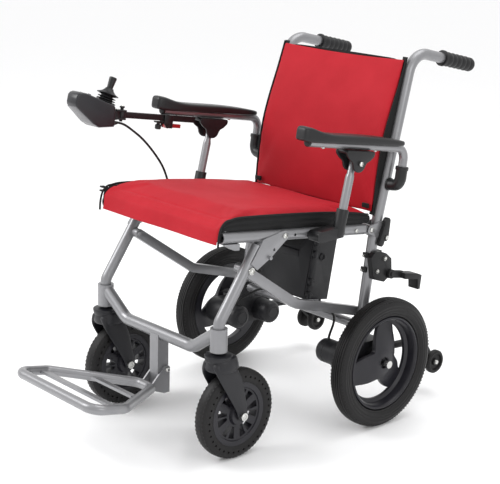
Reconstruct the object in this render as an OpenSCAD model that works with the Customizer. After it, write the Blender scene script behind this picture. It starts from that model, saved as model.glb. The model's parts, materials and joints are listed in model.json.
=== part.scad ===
// Folding power wheelchair. Millimetres, +Z up, the user faces -Y and the user's left is +X.
// Working coordinates put y = 0 on the drive axle and x = 0 on the middle plane; place() moves
// everything so that the origin is on the floor under the middle of the chair.

/* [Wheels] */
// Diameter of the drive wheels
drive_wheel_d = 310; // [290:1:330]
// Width of the drive tyres
drive_tyre_w = 45; // [36:1:50]
// Distance between the middles of the drive tyres
drive_track = 561; // [550:1:700]
// Diameter of the front caster wheels
caster_d = 206; // [170:1:240]
// Width of the caster tyres
caster_w = 38; // [30:1:42]
// Distance of the caster axle behind its swivel
caster_trail = 49; // [40:1:55]
// Diameter of the anti-tip wheels
anti_tip_d = 60; // [48:1:66]

/* [Frame] */
// Distance between the middles of the left and right frame tubes
frame_track = 410; // [400:1:500]
// Distance of the caster swivel in front of the drive axle
swivel_reach = 438.5; // [420:1:500]
// Outside diameter of the frame tubes
tube_d = 25.4; // [22:0.2:28]
// Wall of the frame tubes
tube_wall = 2; // [1.5:0.1:3]
// Height of the seat hinge above the drive axle
hinge_rise = 304; // [290:1:330]
// Slope of the seat rails, rising to the front
seat_slope = 6; // [3:0.5:8]
// Length of the seat rails from the hinge
rail_l = 452; // [430:1:500]
// Height of the push handles above the drive axle
handle_rise = 708; // [680:1:800]
// Backward lean of the back canes
back_lean = 13.7; // [10:0.1:16]

/* [Arms and footrest] */
// Distance between the middles of the armrests
arm_track = 500; // [490:1:600]
// Height of the armrest tube's front end above the drive axle
arm_rise = 541; // [520:1:570]
// Length of the armrest pads
pad_l = 322; // [280:1:340]
// Half width of the footrest loop
foot_half_w = 145; // [110:1:160]
// Reach of the footrest in front of its hinge
foot_reach = 288; // [250:1:310]

/* [Controller] */
// Width of the joystick box
box_w = 58; // [50:1:64]
// Diameter of the joystick knob
knob_d = 18; // [14:0.5:22]

/* [Battery] */
// Width of the battery case
case_w = 164; // [130:1:180]
// Depth of the battery case
case_depth = 78; // [70:1:90]
// Height of the battery case
case_h = 164; // [130:1:168]

/* [Fits] */
// Radial clearance of a pin or axle that turns in its bore
run_gap = 0.05; // [0.01:0.01:0.1]
// Gap between neighbouring pieces that don't touch
near_gap = 0.3; // [0.2:0.05:0.5]

/* [Hidden] */
$fn = 48;

frame_x = frame_track / 2;
tube_r = tube_d / 2;
arm_x = arm_track / 2;
axle_z = drive_wheel_d / 2;
wheel_x = drive_track / 2;
pin_r = 5;
plate_t = 3;
plate_x = frame_x + tube_r + near_gap;

// Seat rail line: u runs forward from the hinge, t stands up from the rail
seat_hinge = [10, axle_z + hinge_rise];
function seat_pt(u, t) = [seat_hinge[0] - u * cos(seat_slope) + t * sin(seat_slope),
  seat_hinge[1] + u * sin(seat_slope) + t * cos(seat_slope)];
leg_pivot = seat_pt(280, 0);
strut_pivot = seat_pt(191, 0);
belt_hole = seat_pt(245, 0);

// Back cane: foot, kink above the hinge, bend at the top, end of the handle
cane_foot = [3, axle_z + 50];
cane_kink = [33, axle_z + 277];
handle_slope = 12;
cane_top = [cane_kink[0] + (handle_rise - 277) * tan(back_lean), axle_z + handle_rise];
function on_handle(l) = cane_top + l * [cos(handle_slope), -sin(handle_slope)];
cane_end = on_handle(208);
// Middle of the cane at a height above the axle
function cane_y(h) = h < 277
  ? cane_foot[0] + (h - 50) * (cane_kink[0] - cane_foot[0]) / 227
  : cane_kink[0] + (h - 277) * tan(back_lean);

// Swivels and front legs
head_top = caster_d + 102;
head_bottom = caster_d + 50;
head_d = 38;
stem_r = 12;
swivel_y = -swivel_reach;
leg_top = leg_pivot + [-66, -15];
rail_pivot = [-362, axle_z + 269];

// Lower rails, bolted to the inner side of the legs and canes
lower_pivot = [cane_y(99), axle_z + 99];
lower_bend = [-195, axle_z + 156];
lower_out = frame_x - tube_r - near_gap;
lower_w = 18;
lower_h = 22;

// Armrests
arm_pivot = [cane_y(406), axle_z + 406];
arm_slope = 8.5;
arm_front = [-236, axle_z + arm_rise];
arm_d = 20;
function arm_pt(l, h) = arm_front + [l * cos(arm_slope) + h * sin(arm_slope),
  h * cos(arm_slope) - l * sin(arm_slope)];
knuckle_pt = arm_pt(152, -39);
arm_back = arm_pt(316, 0);
elbow_dir = unit(arm_back - arm_pivot);

// Drive units
motor_front = [-58, axle_z + 7];
motor_rear = [50, axle_z - 1];
motor_d = 58;
motor_in = 144;
housing_r = motor_d / 2 + 3;
socket_r = tube_r + 5;
housing_in = 196;
housing_out = wheel_x - drive_tyre_w / 2 - 8;

// Anti-tip wheels
anti_tip_at = [257, anti_tip_d / 2 + 53];
anti_tip_x = 210;

// Footrest
foot_pivot = [swivel_y + 8, caster_d - 48];
foot_slope = 11;
foot_tube_d = 22;
foot_drop = 42;
post_w = 30;

grip_r = 16;
grip_l = 112;
grip_end = on_handle(104 + grip_l);
y_front = foot_pivot[0] - foot_reach * cos(foot_slope) - foot_drop * sin(foot_slope)
  - foot_tube_d / 2;
y_shift = -(y_front + grip_end[0] + grip_r * sin(handle_slope)) / 2;

module place() { translate([0, y_shift, 0]) children(); }
module both_sides() { children(); mirror([1, 0, 0]) children(); }
// A flat outline in (y, z), thickened from x0 to x1
module slab(x0, x1) { translate([x0, 0, 0]) rotate([90, 0, 90]) linear_extrude(x1 - x0) children(); }
module disc_at(p, r) { translate(p) circle(r); }
// A round bar or bore along X
module xbar(p, x0, x1, r) {
  translate([x0, p[0], p[1]]) rotate([0, 90, 0]) cylinder(r = r, h = x1 - x0);
}
// A washer or tube along X
module xring(p, x0, x1, r, hole) {
  translate([x0, p[0], p[1]]) rotate([0, 90, 0]) linear_extrude(x1 - x0)
    difference() { circle(r); circle(hole); }
}
// A flat strip between two points of an outline
module strip(p, q, w) {
  d = q - p;
  translate(p) rotate(atan2(d[1], d[0])) translate([0, -w / 2]) square([norm(d), w]);
}
// A strip with round ends that stand a hair proud of it
module link_shape(p, q, r) { strip(p, q, 1.96 * r); disc_at(p, r); disc_at(q, r); }

// Bent tube along points of a plane, with one bend radius
function turn_of(a, b, c) =
  let (t = atan2(c[1] - b[1], c[0] - b[0]) - atan2(b[1] - a[1], b[0] - a[0]))
  t > 180 ? t - 360 : t < -180 ? t + 360 : t;
function unit(v) = v / norm(v);
module section(d, wall) {
  difference() { circle(d = d); if (wall > 0) circle(d = d - 2 * wall); }
}
// The bends are a hair thicker than the straights, which end inside them
bend_skin = 0.15;
bend_lap = 0.8;
module bent_tube(pts, r, d, wall, closed = false) {
  n = len(pts);
  function bends(i) = closed || (i > 0 && i < n - 1);
  function cut(i) = bends(i)
    ? r * tan(abs(turn_of(pts[(i + n - 1) % n], pts[i], pts[(i + 1) % n])) / 2) : 0;
  for (i = [0 : closed ? n - 1 : n - 2]) {
    j = (i + 1) % n;
    dir = unit(pts[j] - pts[i]);
    lap_i = bends(i) ? bend_lap : 0;
    lap_j = bends(j) ? bend_lap : 0;
    run = norm(pts[j] - pts[i]) - cut(i) - cut(j) + lap_i + lap_j;
    start = pts[i] + dir * (cut(i) - lap_i);
    translate([start[0], start[1], 0]) rotate([0, 0, atan2(dir[1], dir[0])])
      rotate([0, 90, 0]) linear_extrude(run) section(d, wall);
  }
  for (i = [closed ? 0 : 1 : closed ? n - 1 : n - 2]) {
    before = pts[(i + n - 1) % n];
    turn = turn_of(before, pts[i], pts[(i + 1) % n]);
    side = turn > 0 ? 1 : -1;
    dir = unit(pts[i] - before);
    start = pts[i] - dir * cut(i);
    normal = side * [-dir[1], dir[0]];
    centre = start + normal * r;
    from = atan2(-normal[1], -normal[0]);
    translate([centre[0], centre[1], 0]) rotate([0, 0, turn > 0 ? from : from + turn])
      rotate_extrude(angle = abs(turn)) translate([r, 0])
      section(d + 2 * bend_skin, wall > 0 ? wall + 2 * bend_skin : 0);
  }
}
module side_tube(x, pts, r, d, wall, closed = false) {
  translate([x, 0, 0]) rotate([90, 0, 90]) bent_tube(pts, r, d, wall, closed);
}

// Cord swept along hand-chosen points
function along(pts, s) =
  let (n = len(pts) - 1, i = min(n - 1, floor(s * n)), t = s * n - i,
    a = pts[max(0, i - 1)], b = pts[i], c = pts[i + 1], e = pts[min(n, i + 2)])
  0.5 * ((2 * b) + (c - a) * t + (2 * a - 5 * b + 4 * c - e) * t * t
    + (3 * b - a - 3 * c + e) * t * t * t);
module cord(pts, d, rings, sides = 8) {
  p = [for (i = [0 : rings]) along(pts, i / rings)];
  tang = [for (i = [0 : rings]) unit(p[min(rings, i + 1)] - p[max(0, i - 1)])];
  // The first side direction is square to the cord and carried along it
  u = [for (i = 0, v = unit(cross(tang[0], [0.31, 0.17, 0.93])); i <= rings;
    i = i + 1, v = i <= rings ? unit(v - (v * tang[i]) * tang[i]) : v) v];
  pts3 = [for (i = [0 : rings]) let (w = cross(tang[i], u[i])) for (k = [0 : sides - 1])
    p[i] + d / 2 * (cos(360 * k / sides) * u[i] + sin(360 * k / sides) * w)];
  walls = [for (i = [0 : rings - 1]) for (k = [0 : sides - 1])
    let (a = i * sides + k, b = i * sides + (k + 1) % sides) [a, a + sides, b + sides, b]];
  tris = [for (q = walls) each [[q[0], q[1], q[2]], [q[0], q[2], q[3]]]];
  ends = [[for (k = [0 : sides - 1]) k],
    [for (k = [0 : sides - 1]) rings * sides + sides - 1 - k]];
  polyhedron(pts3, concat(tris, ends));
}

// ---- Rear frame ----
module back_canes() {
  color("silver") place() both_sides() difference() {
    side_tube(frame_x, [cane_foot, cane_kink, cane_top, cane_end], 50, tube_d, tube_wall);
    xbar(lower_pivot, frame_x - 20, frame_x + 20, pin_r + run_gap);
    xbar(arm_pivot, frame_x - 20, frame_x + 20, pin_r + run_gap);
  }
}
module rear_cross_tube() {
  y = cane_y(67);
  z = axle_z + 67;
  half = frame_x - socket_r - near_gap;
  color("silver") place() {
    translate([-half, y, z]) rotate([0, 90, 0]) linear_extrude(2 * half) section(22, tube_wall);
    // Two uprights that carry the battery case
    for (x = [-50, 50]) slab(x - 10, x + 10)
      polygon([[y - 14, z + 11 + near_gap], [y + 14, z + 11 + near_gap],
        [y + 4, case_floor(y + 4) - near_gap], [y - 12, case_floor(y - 12) - near_gap]]);
  }
}
module hinge_brackets() {
  high = [cane_y(322) + 10, axle_z + 322];
  color("silver") place() both_sides() {
    for (x = [plate_x, frame_x - tube_r - near_gap - plate_t]) slab(x, x + plate_t)
      difference() {
        union() {
          polygon([lever_pivot + [-4, -8], lever_pivot + [9, 0], high, seat_hinge + [0, 11],
            seat_hinge + [0, -11]]);
          disc_at(seat_hinge, 11);
          disc_at(lever_pivot, 9);
        }
        disc_at(seat_hinge, pin_r);
      }
    xbar(seat_hinge, frame_x - tube_r - plate_t - 3, frame_x + tube_r + plate_t + 3, pin_r);
    // Stub pins that carry the lower rails
    xbar(lower_pivot, lower_out - lower_w - 4, frame_x + tube_r + 4, pin_r);
    xbar(lower_pivot, lower_out - lower_w - 4, lower_out - lower_w - near_gap, 8);
  }
}
module at_cane_foot() {
  lean = atan2(cane_kink[0] - cane_foot[0], cane_kink[1] - cane_foot[1]);
  translate([frame_x, cane_foot[0], cane_foot[1]]) rotate([-lean, 0, 0]) children();
}
module drive_housings() {
  color("dimgray") place() both_sides() difference() {
    union() {
      slab(housing_in, housing_out) union() {
        link_shape(motor_front, motor_rear, housing_r);
        translate([-30, axle_z]) square([60, 44]);
      }
      // Socket for the foot of the cane
      at_cane_foot() translate([0, 0, -10]) cylinder(r = socket_r, h = 40);
    }
    at_cane_foot() cylinder(r = tube_r, h = 80);
  }
}
module drive_motors() {
  color("dimgray") place() both_sides() for (p = [motor_front, motor_rear]) {
    xbar(p, motor_in + 4, housing_in, motor_d / 2);
    xbar(p, motor_in, motor_in + 4, motor_d / 2 - 4);
  }
}
module anti_tip_arms() {
  color("dimgray") place() both_sides() difference() {
    side_tube(anti_tip_x, [[motor_rear[0] + housing_r + near_gap, axle_z - 2], [200, axle_z - 10],
      anti_tip_at], 40, 18, 0);
    xbar(anti_tip_at, anti_tip_x - 20, anti_tip_x + 20, pin_r + run_gap);
  }
}
back_pts = [for (h = [360, 430, 500, 570, 640, 700]) [cane_y(h) - tube_r, axle_z + h]];
module back_outline(front, back) {
  bulge = [18, 40, 44, 38, 26, 12];
  polygon(concat(
    [for (i = [0 : 5]) back_pts[i] - [back, 0]],
    [for (i = [5 : -1 : 0]) back_pts[i] - [front == 0 ? back + 2.4 : front * bulge[i] / 44 + 6, 0]]));
}
module backrest_sling() {
  color([0.1, 0.1, 0.1]) place() slab(-frame_x + 2, frame_x - 2) back_outline(0, near_gap);
}
module backrest_cushion() {
  color("crimson") place() slab(-frame_x + 1, frame_x - 1) back_outline(26, 3);
}
module push_grips() {
  start = on_handle(104);
  color([0.15, 0.15, 0.16]) place() both_sides()
    translate([frame_x, start[0], start[1]]) rotate([-handle_slope, 0, 0]) rotate([-90, 0, 0])
    difference() {
      union() {
        cylinder(r = grip_r, h = grip_l);
        cylinder(r = 19, h = 8);
        for (i = [1 : 5]) translate([0, 0, 18 + i * 15]) cylinder(r = 17.5, h = 8);
      }
      translate([0, 0, -1]) cylinder(r = tube_r, h = 105);
    }
}
pedal_pivot = [67, axle_z + 192];
lever_pivot = [cane_y(270) + 18, axle_z + 282];
brake_in = frame_x + tube_r + near_gap;
jaw_gap = 1.4;
jaw_h = [206, 240];
module brake_bodies() {
  color([0.12, 0.12, 0.12]) place() both_sides() {
    slab(brake_in, brake_in + 14) difference() {
      union() {
        polygon([[2, axle_z + 240], [14, axle_z + 251], [34, axle_z + 251], [54, axle_z + 243],
          [72, axle_z + 228], [76, axle_z + 190], [50, axle_z + 174], [14, axle_z + 186]]);
        disc_at(pedal_pivot, 12);
      }
      disc_at(pedal_pivot, pin_r);
    }
    // Clamp jaws in front of and behind the leaning cane
    for (h = jaw_h) {
      translate([frame_x - tube_r, cane_y(h) + tube_r + jaw_gap, axle_z + h - 8])
        cube([2 * tube_r + near_gap, 10, 16]);
      translate([frame_x - 8, cane_y(h) - tube_r - jaw_gap - 5, axle_z + h - 6]) cube([16, 5, 12]);
    }
    xbar(pedal_pivot, brake_in, brake_in + 26, pin_r);
  }
}
module brake_pedal() {
  x = brake_in + 14 + near_gap;
  color([0.12, 0.12, 0.12]) place() {
    slab(x, x + 9) difference() {
      union() {
        disc_at(pedal_pivot, 11);
        polygon([pedal_pivot + [0, 9], pedal_pivot + [38, 2], pedal_pivot + [38, -16],
          pedal_pivot + [0, -9]]);
      }
      disc_at(pedal_pivot, pin_r + run_gap);
    }
    slab(x - 6, x + 24) polygon([pedal_pivot + [30, 0], pedal_pivot + [76, -8],
      pedal_pivot + [90, -14], pedal_pivot + [86, -48], pedal_pivot + [78, -48],
      pedal_pivot + [76, -22], pedal_pivot + [30, -14]]);
  }
}
module brake_pedal_left() { brake_pedal(); }
module brake_pedal_right() { mirror([1, 0, 0]) brake_pedal(); }
module fold_lever() {
  x = plate_x + plate_t + near_gap;
  color([0.12, 0.12, 0.12]) place() slab(x, x + 10) difference() {
    union() {
      link_shape(lever_pivot + [-14, -12], lever_pivot + [-2, 20], 8);
      link_shape(lever_pivot, lever_pivot + [4, 38], 9);
    }
    disc_at(lever_pivot, pin_r + run_gap);
  }
}
module fold_lever_left() { fold_lever(); }
module fold_lever_right() { mirror([1, 0, 0]) fold_lever(); }

// ---- Battery ----
case_lean = 10;
case_at = [-23, axle_z + 107];
case_wall = 3;
// Height of the case's sloping floor
function case_floor(y) = case_at[1] - (y - case_at[0]) * tan(case_lean);
module in_case() { translate([0, case_at[0], case_at[1]]) rotate([-case_lean, 0, 0]) children(); }
module box_at(low, high) { translate(low) cube(high - low); }
module battery_case() {
  w = case_w / 2;
  d = case_depth / 2;
  color([0.16, 0.16, 0.17]) place() in_case() {
    difference() {
      box_at([-w, -d, 0], [w, d, case_h]);
      box_at([case_wall - w, -d - 1, case_wall], [w - case_wall, d - case_wall, case_h - case_wall]);
    }
    // Hooks down the front corner of the left wall
    for (z = [8, 40, 108, 138]) box_at([w, 6 - d, z], [w + 5, 20 - d, z + 7]);
  }
}
module battery_pack() {
  w = case_w / 2 - case_wall - 0.5;
  d = case_depth / 2;
  color([0.13, 0.13, 0.14]) place() in_case() {
    box_at([-w, -d - 2, case_wall + 0.5], [w, d - case_wall - 0.5, case_h - case_wall - 0.5]);
    // Pull strap
    box_at([-40, -d - 5, 96], [40, -d - 2, 112]);
  }
}
module rear_bolts() {
  color("silver") place() both_sides() {
    for (p = [[47, axle_z + 232], [22, axle_z + 205]]) xbar(p, brake_in + 14, brake_in + 18, 5);
    for (h = jaw_h) translate([frame_x, cane_y(h) - tube_r - jaw_gap - 5, axle_z + h])
      rotate([90, 0, 0]) cylinder(r = 3, h = 7);
    xbar(lever_pivot, plate_x + plate_t, plate_x + plate_t + 14, pin_r);
    // Drive axles, out of the housings and through the wheels
    xbar([0, axle_z], housing_out, wheel_x + drive_tyre_w / 2 + 1, 8);
    xbar([0, axle_z], wheel_x + drive_tyre_w / 2 + 1, wheel_x + drive_tyre_w / 2 + 5, 9);
    xbar(anti_tip_at, anti_tip_x - 30, anti_tip_x + 30, pin_r);
  }
}
lead_route = [[70, 2, 256.6], [73, 1, 248], [90, -2, 242], [116, -6, 238], [136, -14, 231],
  [150, -30, 219], [161, -50, 206], [164, -57, 198], [164, -58, 191.3]];
module motor_leads() {
  color([0.1, 0.1, 0.1]) place() both_sides()
    cord([for (p = lead_route) [p[0], p[1], p[2] + axle_z - 155]], 6, 20);
}

// ---- Seat ----
module rail_tube(u0, u1) {
  p = seat_pt(u0, 0);
  translate([frame_x, p[0], p[1]]) rotate([90 - seat_slope, 0, 0])
    linear_extrude(u1 - u0) section(tube_d, tube_wall);
}
module seat_rails() {
  color("silver") place() both_sides() {
    difference() {
      rail_tube(14, rail_l);
      for (p = [leg_pivot, strut_pivot]) xbar(p, frame_x - 20, frame_x + 20, pin_r + run_gap);
      xbar(belt_hole, frame_x - 20, frame_x + 20, 3.25);
    }
    // Eye on the hinge pin, with a tongue that ends inside the tube
    difference() {
      union() {
        slab(frame_x - 12.4, frame_x + 12.4) disc_at(seat_hinge, 11);
        slab(frame_x - 8.6, frame_x + 8.6) strip(seat_hinge, seat_pt(30, 0), 17.2);
      }
      xbar(seat_hinge, frame_x - 20, frame_x + 20, pin_r + run_gap);
    }
    // Stop bracket under the front of the rail
    slab(frame_x - 8, frame_x + 8) polygon([seat_pt(rail_l - 4, -tube_r - near_gap),
      seat_pt(rail_l - 50, -tube_r - near_gap), seat_pt(rail_l - 50, -27),
      seat_pt(rail_l - 36, -27)]);
  }
}
module seat_cross_tubes() {
  half = frame_x - tube_r - near_gap;
  color("silver") place() for (u = [44, rail_l - 14]) {
    p = seat_pt(u, 2);
    translate([-half, p[0], p[1]]) rotate([0, 90, 0]) linear_extrude(2 * half) section(16, 1.5);
  }
}
module seat_sling() {
  color([0.1, 0.1, 0.1]) place() slab(-frame_x - 8, frame_x + 8)
    polygon([seat_pt(20, tube_r + near_gap), seat_pt(rail_l, tube_r + near_gap),
      seat_pt(rail_l, tube_r + 3), seat_pt(20, tube_r + 3)]);
}
module seat_cushion() {
  base = tube_r + 3 + near_gap;
  front = rail_l + 9;
  color("crimson") place() slab(-frame_x - 8, frame_x + 8) polygon([seat_pt(10, base),
    seat_pt(10, 42), seat_pt(90, 50), seat_pt(250, 52), seat_pt(400, 49), seat_pt(front - 12, 42),
    seat_pt(front, 30), seat_pt(front + 2, -12), seat_pt(front - 5, -12), seat_pt(front - 8, base)]);
}
module seat_bolts() {
  color("silver") place() both_sides() {
    for (u = [50, 120]) xbar(seat_pt(u, 0), frame_x + tube_r, frame_x + tube_r + 3, 4.5);
  }
}

// ---- Front frame ----
module front_legs() {
  color("silver") place() both_sides() difference() {
    side_tube(frame_x, [[swivel_y, head_top + near_gap], [swivel_y, head_top + 11], leg_top], 30,
      tube_d, tube_wall);
    xbar(rail_pivot, frame_x - 20, frame_x + 20, pin_r);
  }
}
module gusset(corners) {
  difference() {
    union() {
      polygon(concat([leg_pivot + [-6, 12], leg_pivot + [-62, 1]], corners,
        [leg_pivot + [-38, -42], leg_pivot + [10, -6]]));
      disc_at(leg_pivot, 12);
    }
    disc_at(leg_pivot, pin_r);
    disc_at(leg_pivot + [-30, -26], 3.25);
  }
}
module gusset_plates() {
  // Only the outer plate reaches down the leg, clear of the lower rail
  foot = leg_top + [-26, -41];
  color("silver") place() both_sides() {
    slab(plate_x, plate_x + plate_t) gusset([foot + [-4, 8], foot + [14, -8]]);
    slab(frame_x - tube_r - near_gap - plate_t, frame_x - tube_r - near_gap)
      gusset([leg_pivot + [-66, -20]]);
    xbar(leg_pivot, frame_x - tube_r - plate_t - 3, frame_x + tube_r + plate_t + 3, pin_r);
    // Rubber-tipped stop peg
    xbar(leg_pivot + [-44, -42], plate_x + plate_t, plate_x + plate_t + 6, 4);
  }
}
module front_cross_tube() {
  mid_z = caster_d + 37;
  bend_x = 122;
  color("silver") place() {
    both_sides() difference() {
      translate([frame_x, swivel_y, head_bottom]) cylinder(d = head_d, h = head_top - head_bottom);
      translate([frame_x, swivel_y, head_bottom - 1]) cylinder(r = stem_r + run_gap, h = 80);
    }
    difference() {
      translate([0, swivel_y, 0]) rotate([90, 0, 0]) bent_tube([[-frame_x, head_top - 8],
        [-bend_x, mid_z], [bend_x, mid_z], [frame_x, head_top - 8]], 45, 28, 2);
      both_sides() translate([frame_x, swivel_y, 0]) cylinder(d = head_d, h = 500);
      both_sides() translate([frame_x, swivel_y - 40, 0]) cube([60, 80, 500]);
    }
    difference() {
      translate([-post_w / 2, swivel_y - post_w / 2, caster_d - 92])
        cube([post_w, post_w, mid_z - caster_d + 92]);
      translate([0, swivel_y, mid_z]) rotate([0, 90, 0])
        cylinder(r = 14, h = 100, center = true);
      xbar(foot_pivot, -40, 40, pin_r + run_gap);
    }
  }
}
module front_bolts() {
  color("silver") place() both_sides() {
    xbar(rail_pivot, frame_x - tube_r - 0.1, frame_x + tube_r + 4, pin_r);
    xbar(rail_pivot, frame_x + tube_r, frame_x + tube_r + 4, 8);
  }
}
module lower_rails() {
  end_l = 10;
  back_end = lower_pivot;
  x0 = lower_out - lower_w;
  color("silver") place() both_sides() {
    slab(x0, lower_out) difference() {
      union() {
        strip(rail_pivot, lower_bend, lower_h);
        strip(lower_bend, back_end, lower_h);
        disc_at(rail_pivot, lower_h / 2);
        disc_at(lower_bend, lower_h / 2);
        disc_at(back_end, lower_h / 2);
      }
      disc_at(back_end, pin_r + run_gap);
    }
    xbar(rail_pivot, x0 - 4, x0, 7);
  }
}

// ---- Casters: made at their swivel, then moved ----
fork_in = caster_w / 2 + 5;
fork_t = 7;
wheel_at = [caster_trail, caster_d / 2];
module caster_fork() {
  crown_z = head_bottom - 16;
  color([0.15, 0.15, 0.16]) difference() {
    union() {
      translate([0, 0, crown_z]) cylinder(r = 28, h = 14);
      translate([0, 0, crown_z]) cylinder(r = stem_r, h = 66);
      slab(-fork_in - fork_t, fork_in + fork_t) polygon([[-28, crown_z + 2], [28, crown_z + 2],
        [36, caster_d + 6], [-20, caster_d + 6]]);
      for (x = [-fork_in - fork_t, fork_in]) slab(x, x + fork_t) union() {
        polygon([[-28, crown_z], [28, crown_z], [38, caster_d + 6], wheel_at + [14, 0],
          wheel_at - [14, 0], [-18, caster_d + 6]]);
        disc_at(wheel_at, 14);
      }
    }
    xbar(wheel_at, -60, 60, 6);
  }
}
module caster_axle() {
  w = fork_in + fork_t;
  color("silver") {
    xbar(wheel_at, -w, w, 6);
    for (x = [-w - 5, w]) xbar(wheel_at, x, x + 5, 9);
  }
}
module caster_tyre() {
  r = caster_d / 2;
  c = 13;
  color([0.1, 0.1, 0.1]) translate([0, wheel_at[0], wheel_at[1]]) rotate([0, 90, 0])
    rotate_extrude() polygon([[r - 30, -caster_w / 2 + 3], [r - c, -caster_w / 2],
      [r - 3, -caster_w / 2 + c - 3], [r, 0], [r - 3, caster_w / 2 - c + 3],
      [r - c, caster_w / 2], [r - 30, caster_w / 2 - 3]]);
}
module caster_rim() {
  r = caster_d / 2 - 30;
  w = caster_w / 2 - 2;
  color([0.13, 0.13, 0.14]) translate([0, wheel_at[0], wheel_at[1]]) rotate([0, 90, 0]) {
    difference() {
      translate([0, 0, -w]) cylinder(r = r - near_gap, h = 2 * w);
      translate([0, 0, -w - 1]) cylinder(r = r - 10, h = 2 * w + 2);
    }
    difference() {
      union() {
        translate([0, 0, -w - 4]) cylinder(r = 17, h = 2 * w + 8);
        for (a = [0 : 60 : 300]) rotate([0, 0, a]) translate([10, -6, -12]) cube([r - 19, 12, 24]);
      }
      translate([0, 0, -w - 9]) cylinder(r = 6 + run_gap, h = 2 * w + 18);
    }
  }
}
module at_swivel(side) { place() translate([side * frame_x, swivel_y, 0]) children(); }
module caster_fork_left() { at_swivel(1) caster_fork(); }
module caster_fork_right() { at_swivel(-1) caster_fork(); }
module caster_axle_left() { at_swivel(1) caster_axle(); }
module caster_axle_right() { at_swivel(-1) caster_axle(); }
module caster_tyre_left() { at_swivel(1) caster_tyre(); }
module caster_tyre_right() { at_swivel(-1) caster_tyre(); }
module caster_rim_left() { at_swivel(1) caster_rim(); }
module caster_rim_right() { at_swivel(-1) caster_rim(); }

// ---- Drive wheels ----
rim_r = axle_z - 42;
module drive_tyre() {
  w = drive_tyre_w / 2;
  r = axle_z;
  color([0.1, 0.1, 0.1]) place() translate([wheel_x, 0, axle_z]) rotate([0, 90, 0])
    rotate_extrude() polygon([[rim_r, -w + 7], [r - 30, -w + 1], [r - 20, -w], [r - 9, -w + 4],
      [r - 3, -w + 11], [r, 0], [r - 3, w - 11], [r - 9, w - 4], [r - 20, w], [r - 30, w - 1],
      [rim_r, w - 7]]);
}
module drive_rim() {
  w = drive_tyre_w / 2 - 6;
  color([0.2, 0.2, 0.22]) place() translate([wheel_x, 0, axle_z]) rotate([0, 90, 0]) {
    difference() {
      translate([0, 0, -w]) cylinder(r = rim_r - near_gap, h = 2 * w);
      translate([0, 0, -w - 1]) cylinder(r = rim_r - 12, h = 2 * w + 2);
    }
    difference() {
      union() {
        translate([0, 0, -w - 4]) cylinder(r = 32, h = 2 * w + 8);
        for (a = [30, 150, 270]) rotate([0, 0, a]) translate([20, -24, -14])
          cube([rim_r - 31, 48, 28]);
      }
      translate([0, 0, -w - 9]) cylinder(r = 8 + run_gap, h = 2 * w + 18);
    }
  }
}
module drive_tyre_left() { drive_tyre(); }
module drive_tyre_right() { mirror([1, 0, 0]) drive_tyre(); }
module drive_rim_left() { drive_rim(); }
module drive_rim_right() { mirror([1, 0, 0]) drive_rim(); }
module anti_tip_wheels() {
  color([0.12, 0.12, 0.12]) place() for (x = [anti_tip_x - 28, anti_tip_x + 11])
    xring(anti_tip_at, x, x + 17, anti_tip_d / 2, pin_r + run_gap);
}
module anti_tip_wheels_left() { anti_tip_wheels(); }
module anti_tip_wheels_right() { mirror([1, 0, 0]) anti_tip_wheels(); }

// ---- Footrest: drawn flat in (x, forward), then tilted on its hinge ----
module foot_plane() {
  translate([0, foot_pivot[0], foot_pivot[1]]) rotate([-foot_slope, 0, 0])
    translate([0, 0, -foot_drop]) rotate([0, 0, 180]) children();
}
module footrest() {
  w = foot_half_w;
  l = foot_reach;
  side_l = l - 80;
  neck = 24;
  color("silver") place() {
    foot_plane() {
      bent_tube([[-w, l], [-w, side_l], [-neck, 40], [neck, 40], [w, side_l], [w, l]], 28,
        foot_tube_d, 2, true);
      difference() {
        translate([-w, l - 70, -3]) cube([2 * w, 16, 6]);
        both_sides() translate([w, 0, 0]) rotate([-90, 0, 0]) cylinder(d = foot_tube_d, h = 500);
      }
      reach = neck + (w - neck) * (130 - 40) / (side_l - 40) - 14;
      translate([-reach, 122, -3]) cube([2 * reach, 16, 6]);
    }
    both_sides() slab(post_w / 2 + near_gap, post_w / 2 + near_gap + 4) difference() {
      union() {
        disc_at(foot_pivot, 9);
        polygon([foot_pivot + [8, 5], foot_pivot + [8, -56], foot_pivot + [-8, -56],
          foot_pivot + [-42, -42], foot_pivot + [-48, -34], foot_pivot + [-6, 8]]);
      }
      disc_at(foot_pivot, pin_r);
    }
    xbar(foot_pivot, -post_w / 2 - 9, post_w / 2 + 9, pin_r);
  }
}

// ---- Armrests ----
module armrest_tubes() {
  color("silver") place() both_sides()
    side_tube(arm_x, [arm_front, arm_back, arm_pivot + 14 * elbow_dir], 28, arm_d, 2);
}
module armrest_pads() {
  nose = arm_pt(-28, 0);
  color([0.12, 0.12, 0.13]) place() both_sides() difference() {
    slab(arm_x - 26, arm_x + 26) polygon([arm_pt(-28, 4), arm_pt(-30, 18), arm_pt(-26, 32),
      arm_pt(-14, 34), arm_pt(12, 27), arm_pt(60, 22), arm_pt(150, 24), arm_pt(250, 22),
      arm_pt(pad_l - 30, 18), arm_pt(pad_l - 30, 6), arm_pt(0, 1)]);
    translate([arm_x, arm_front[0], arm_front[1]]) rotate([90 - arm_slope, 0, 0])
      translate([0, 0, -400]) cylinder(d = arm_d + 0.2, h = 440);
  }
}
module at_elbow() {
  lean = atan2(elbow_dir[0], elbow_dir[1]);
  translate([arm_x, arm_pivot[0], arm_pivot[1]]) rotate([-lean, 0, 0]) children();
}
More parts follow.
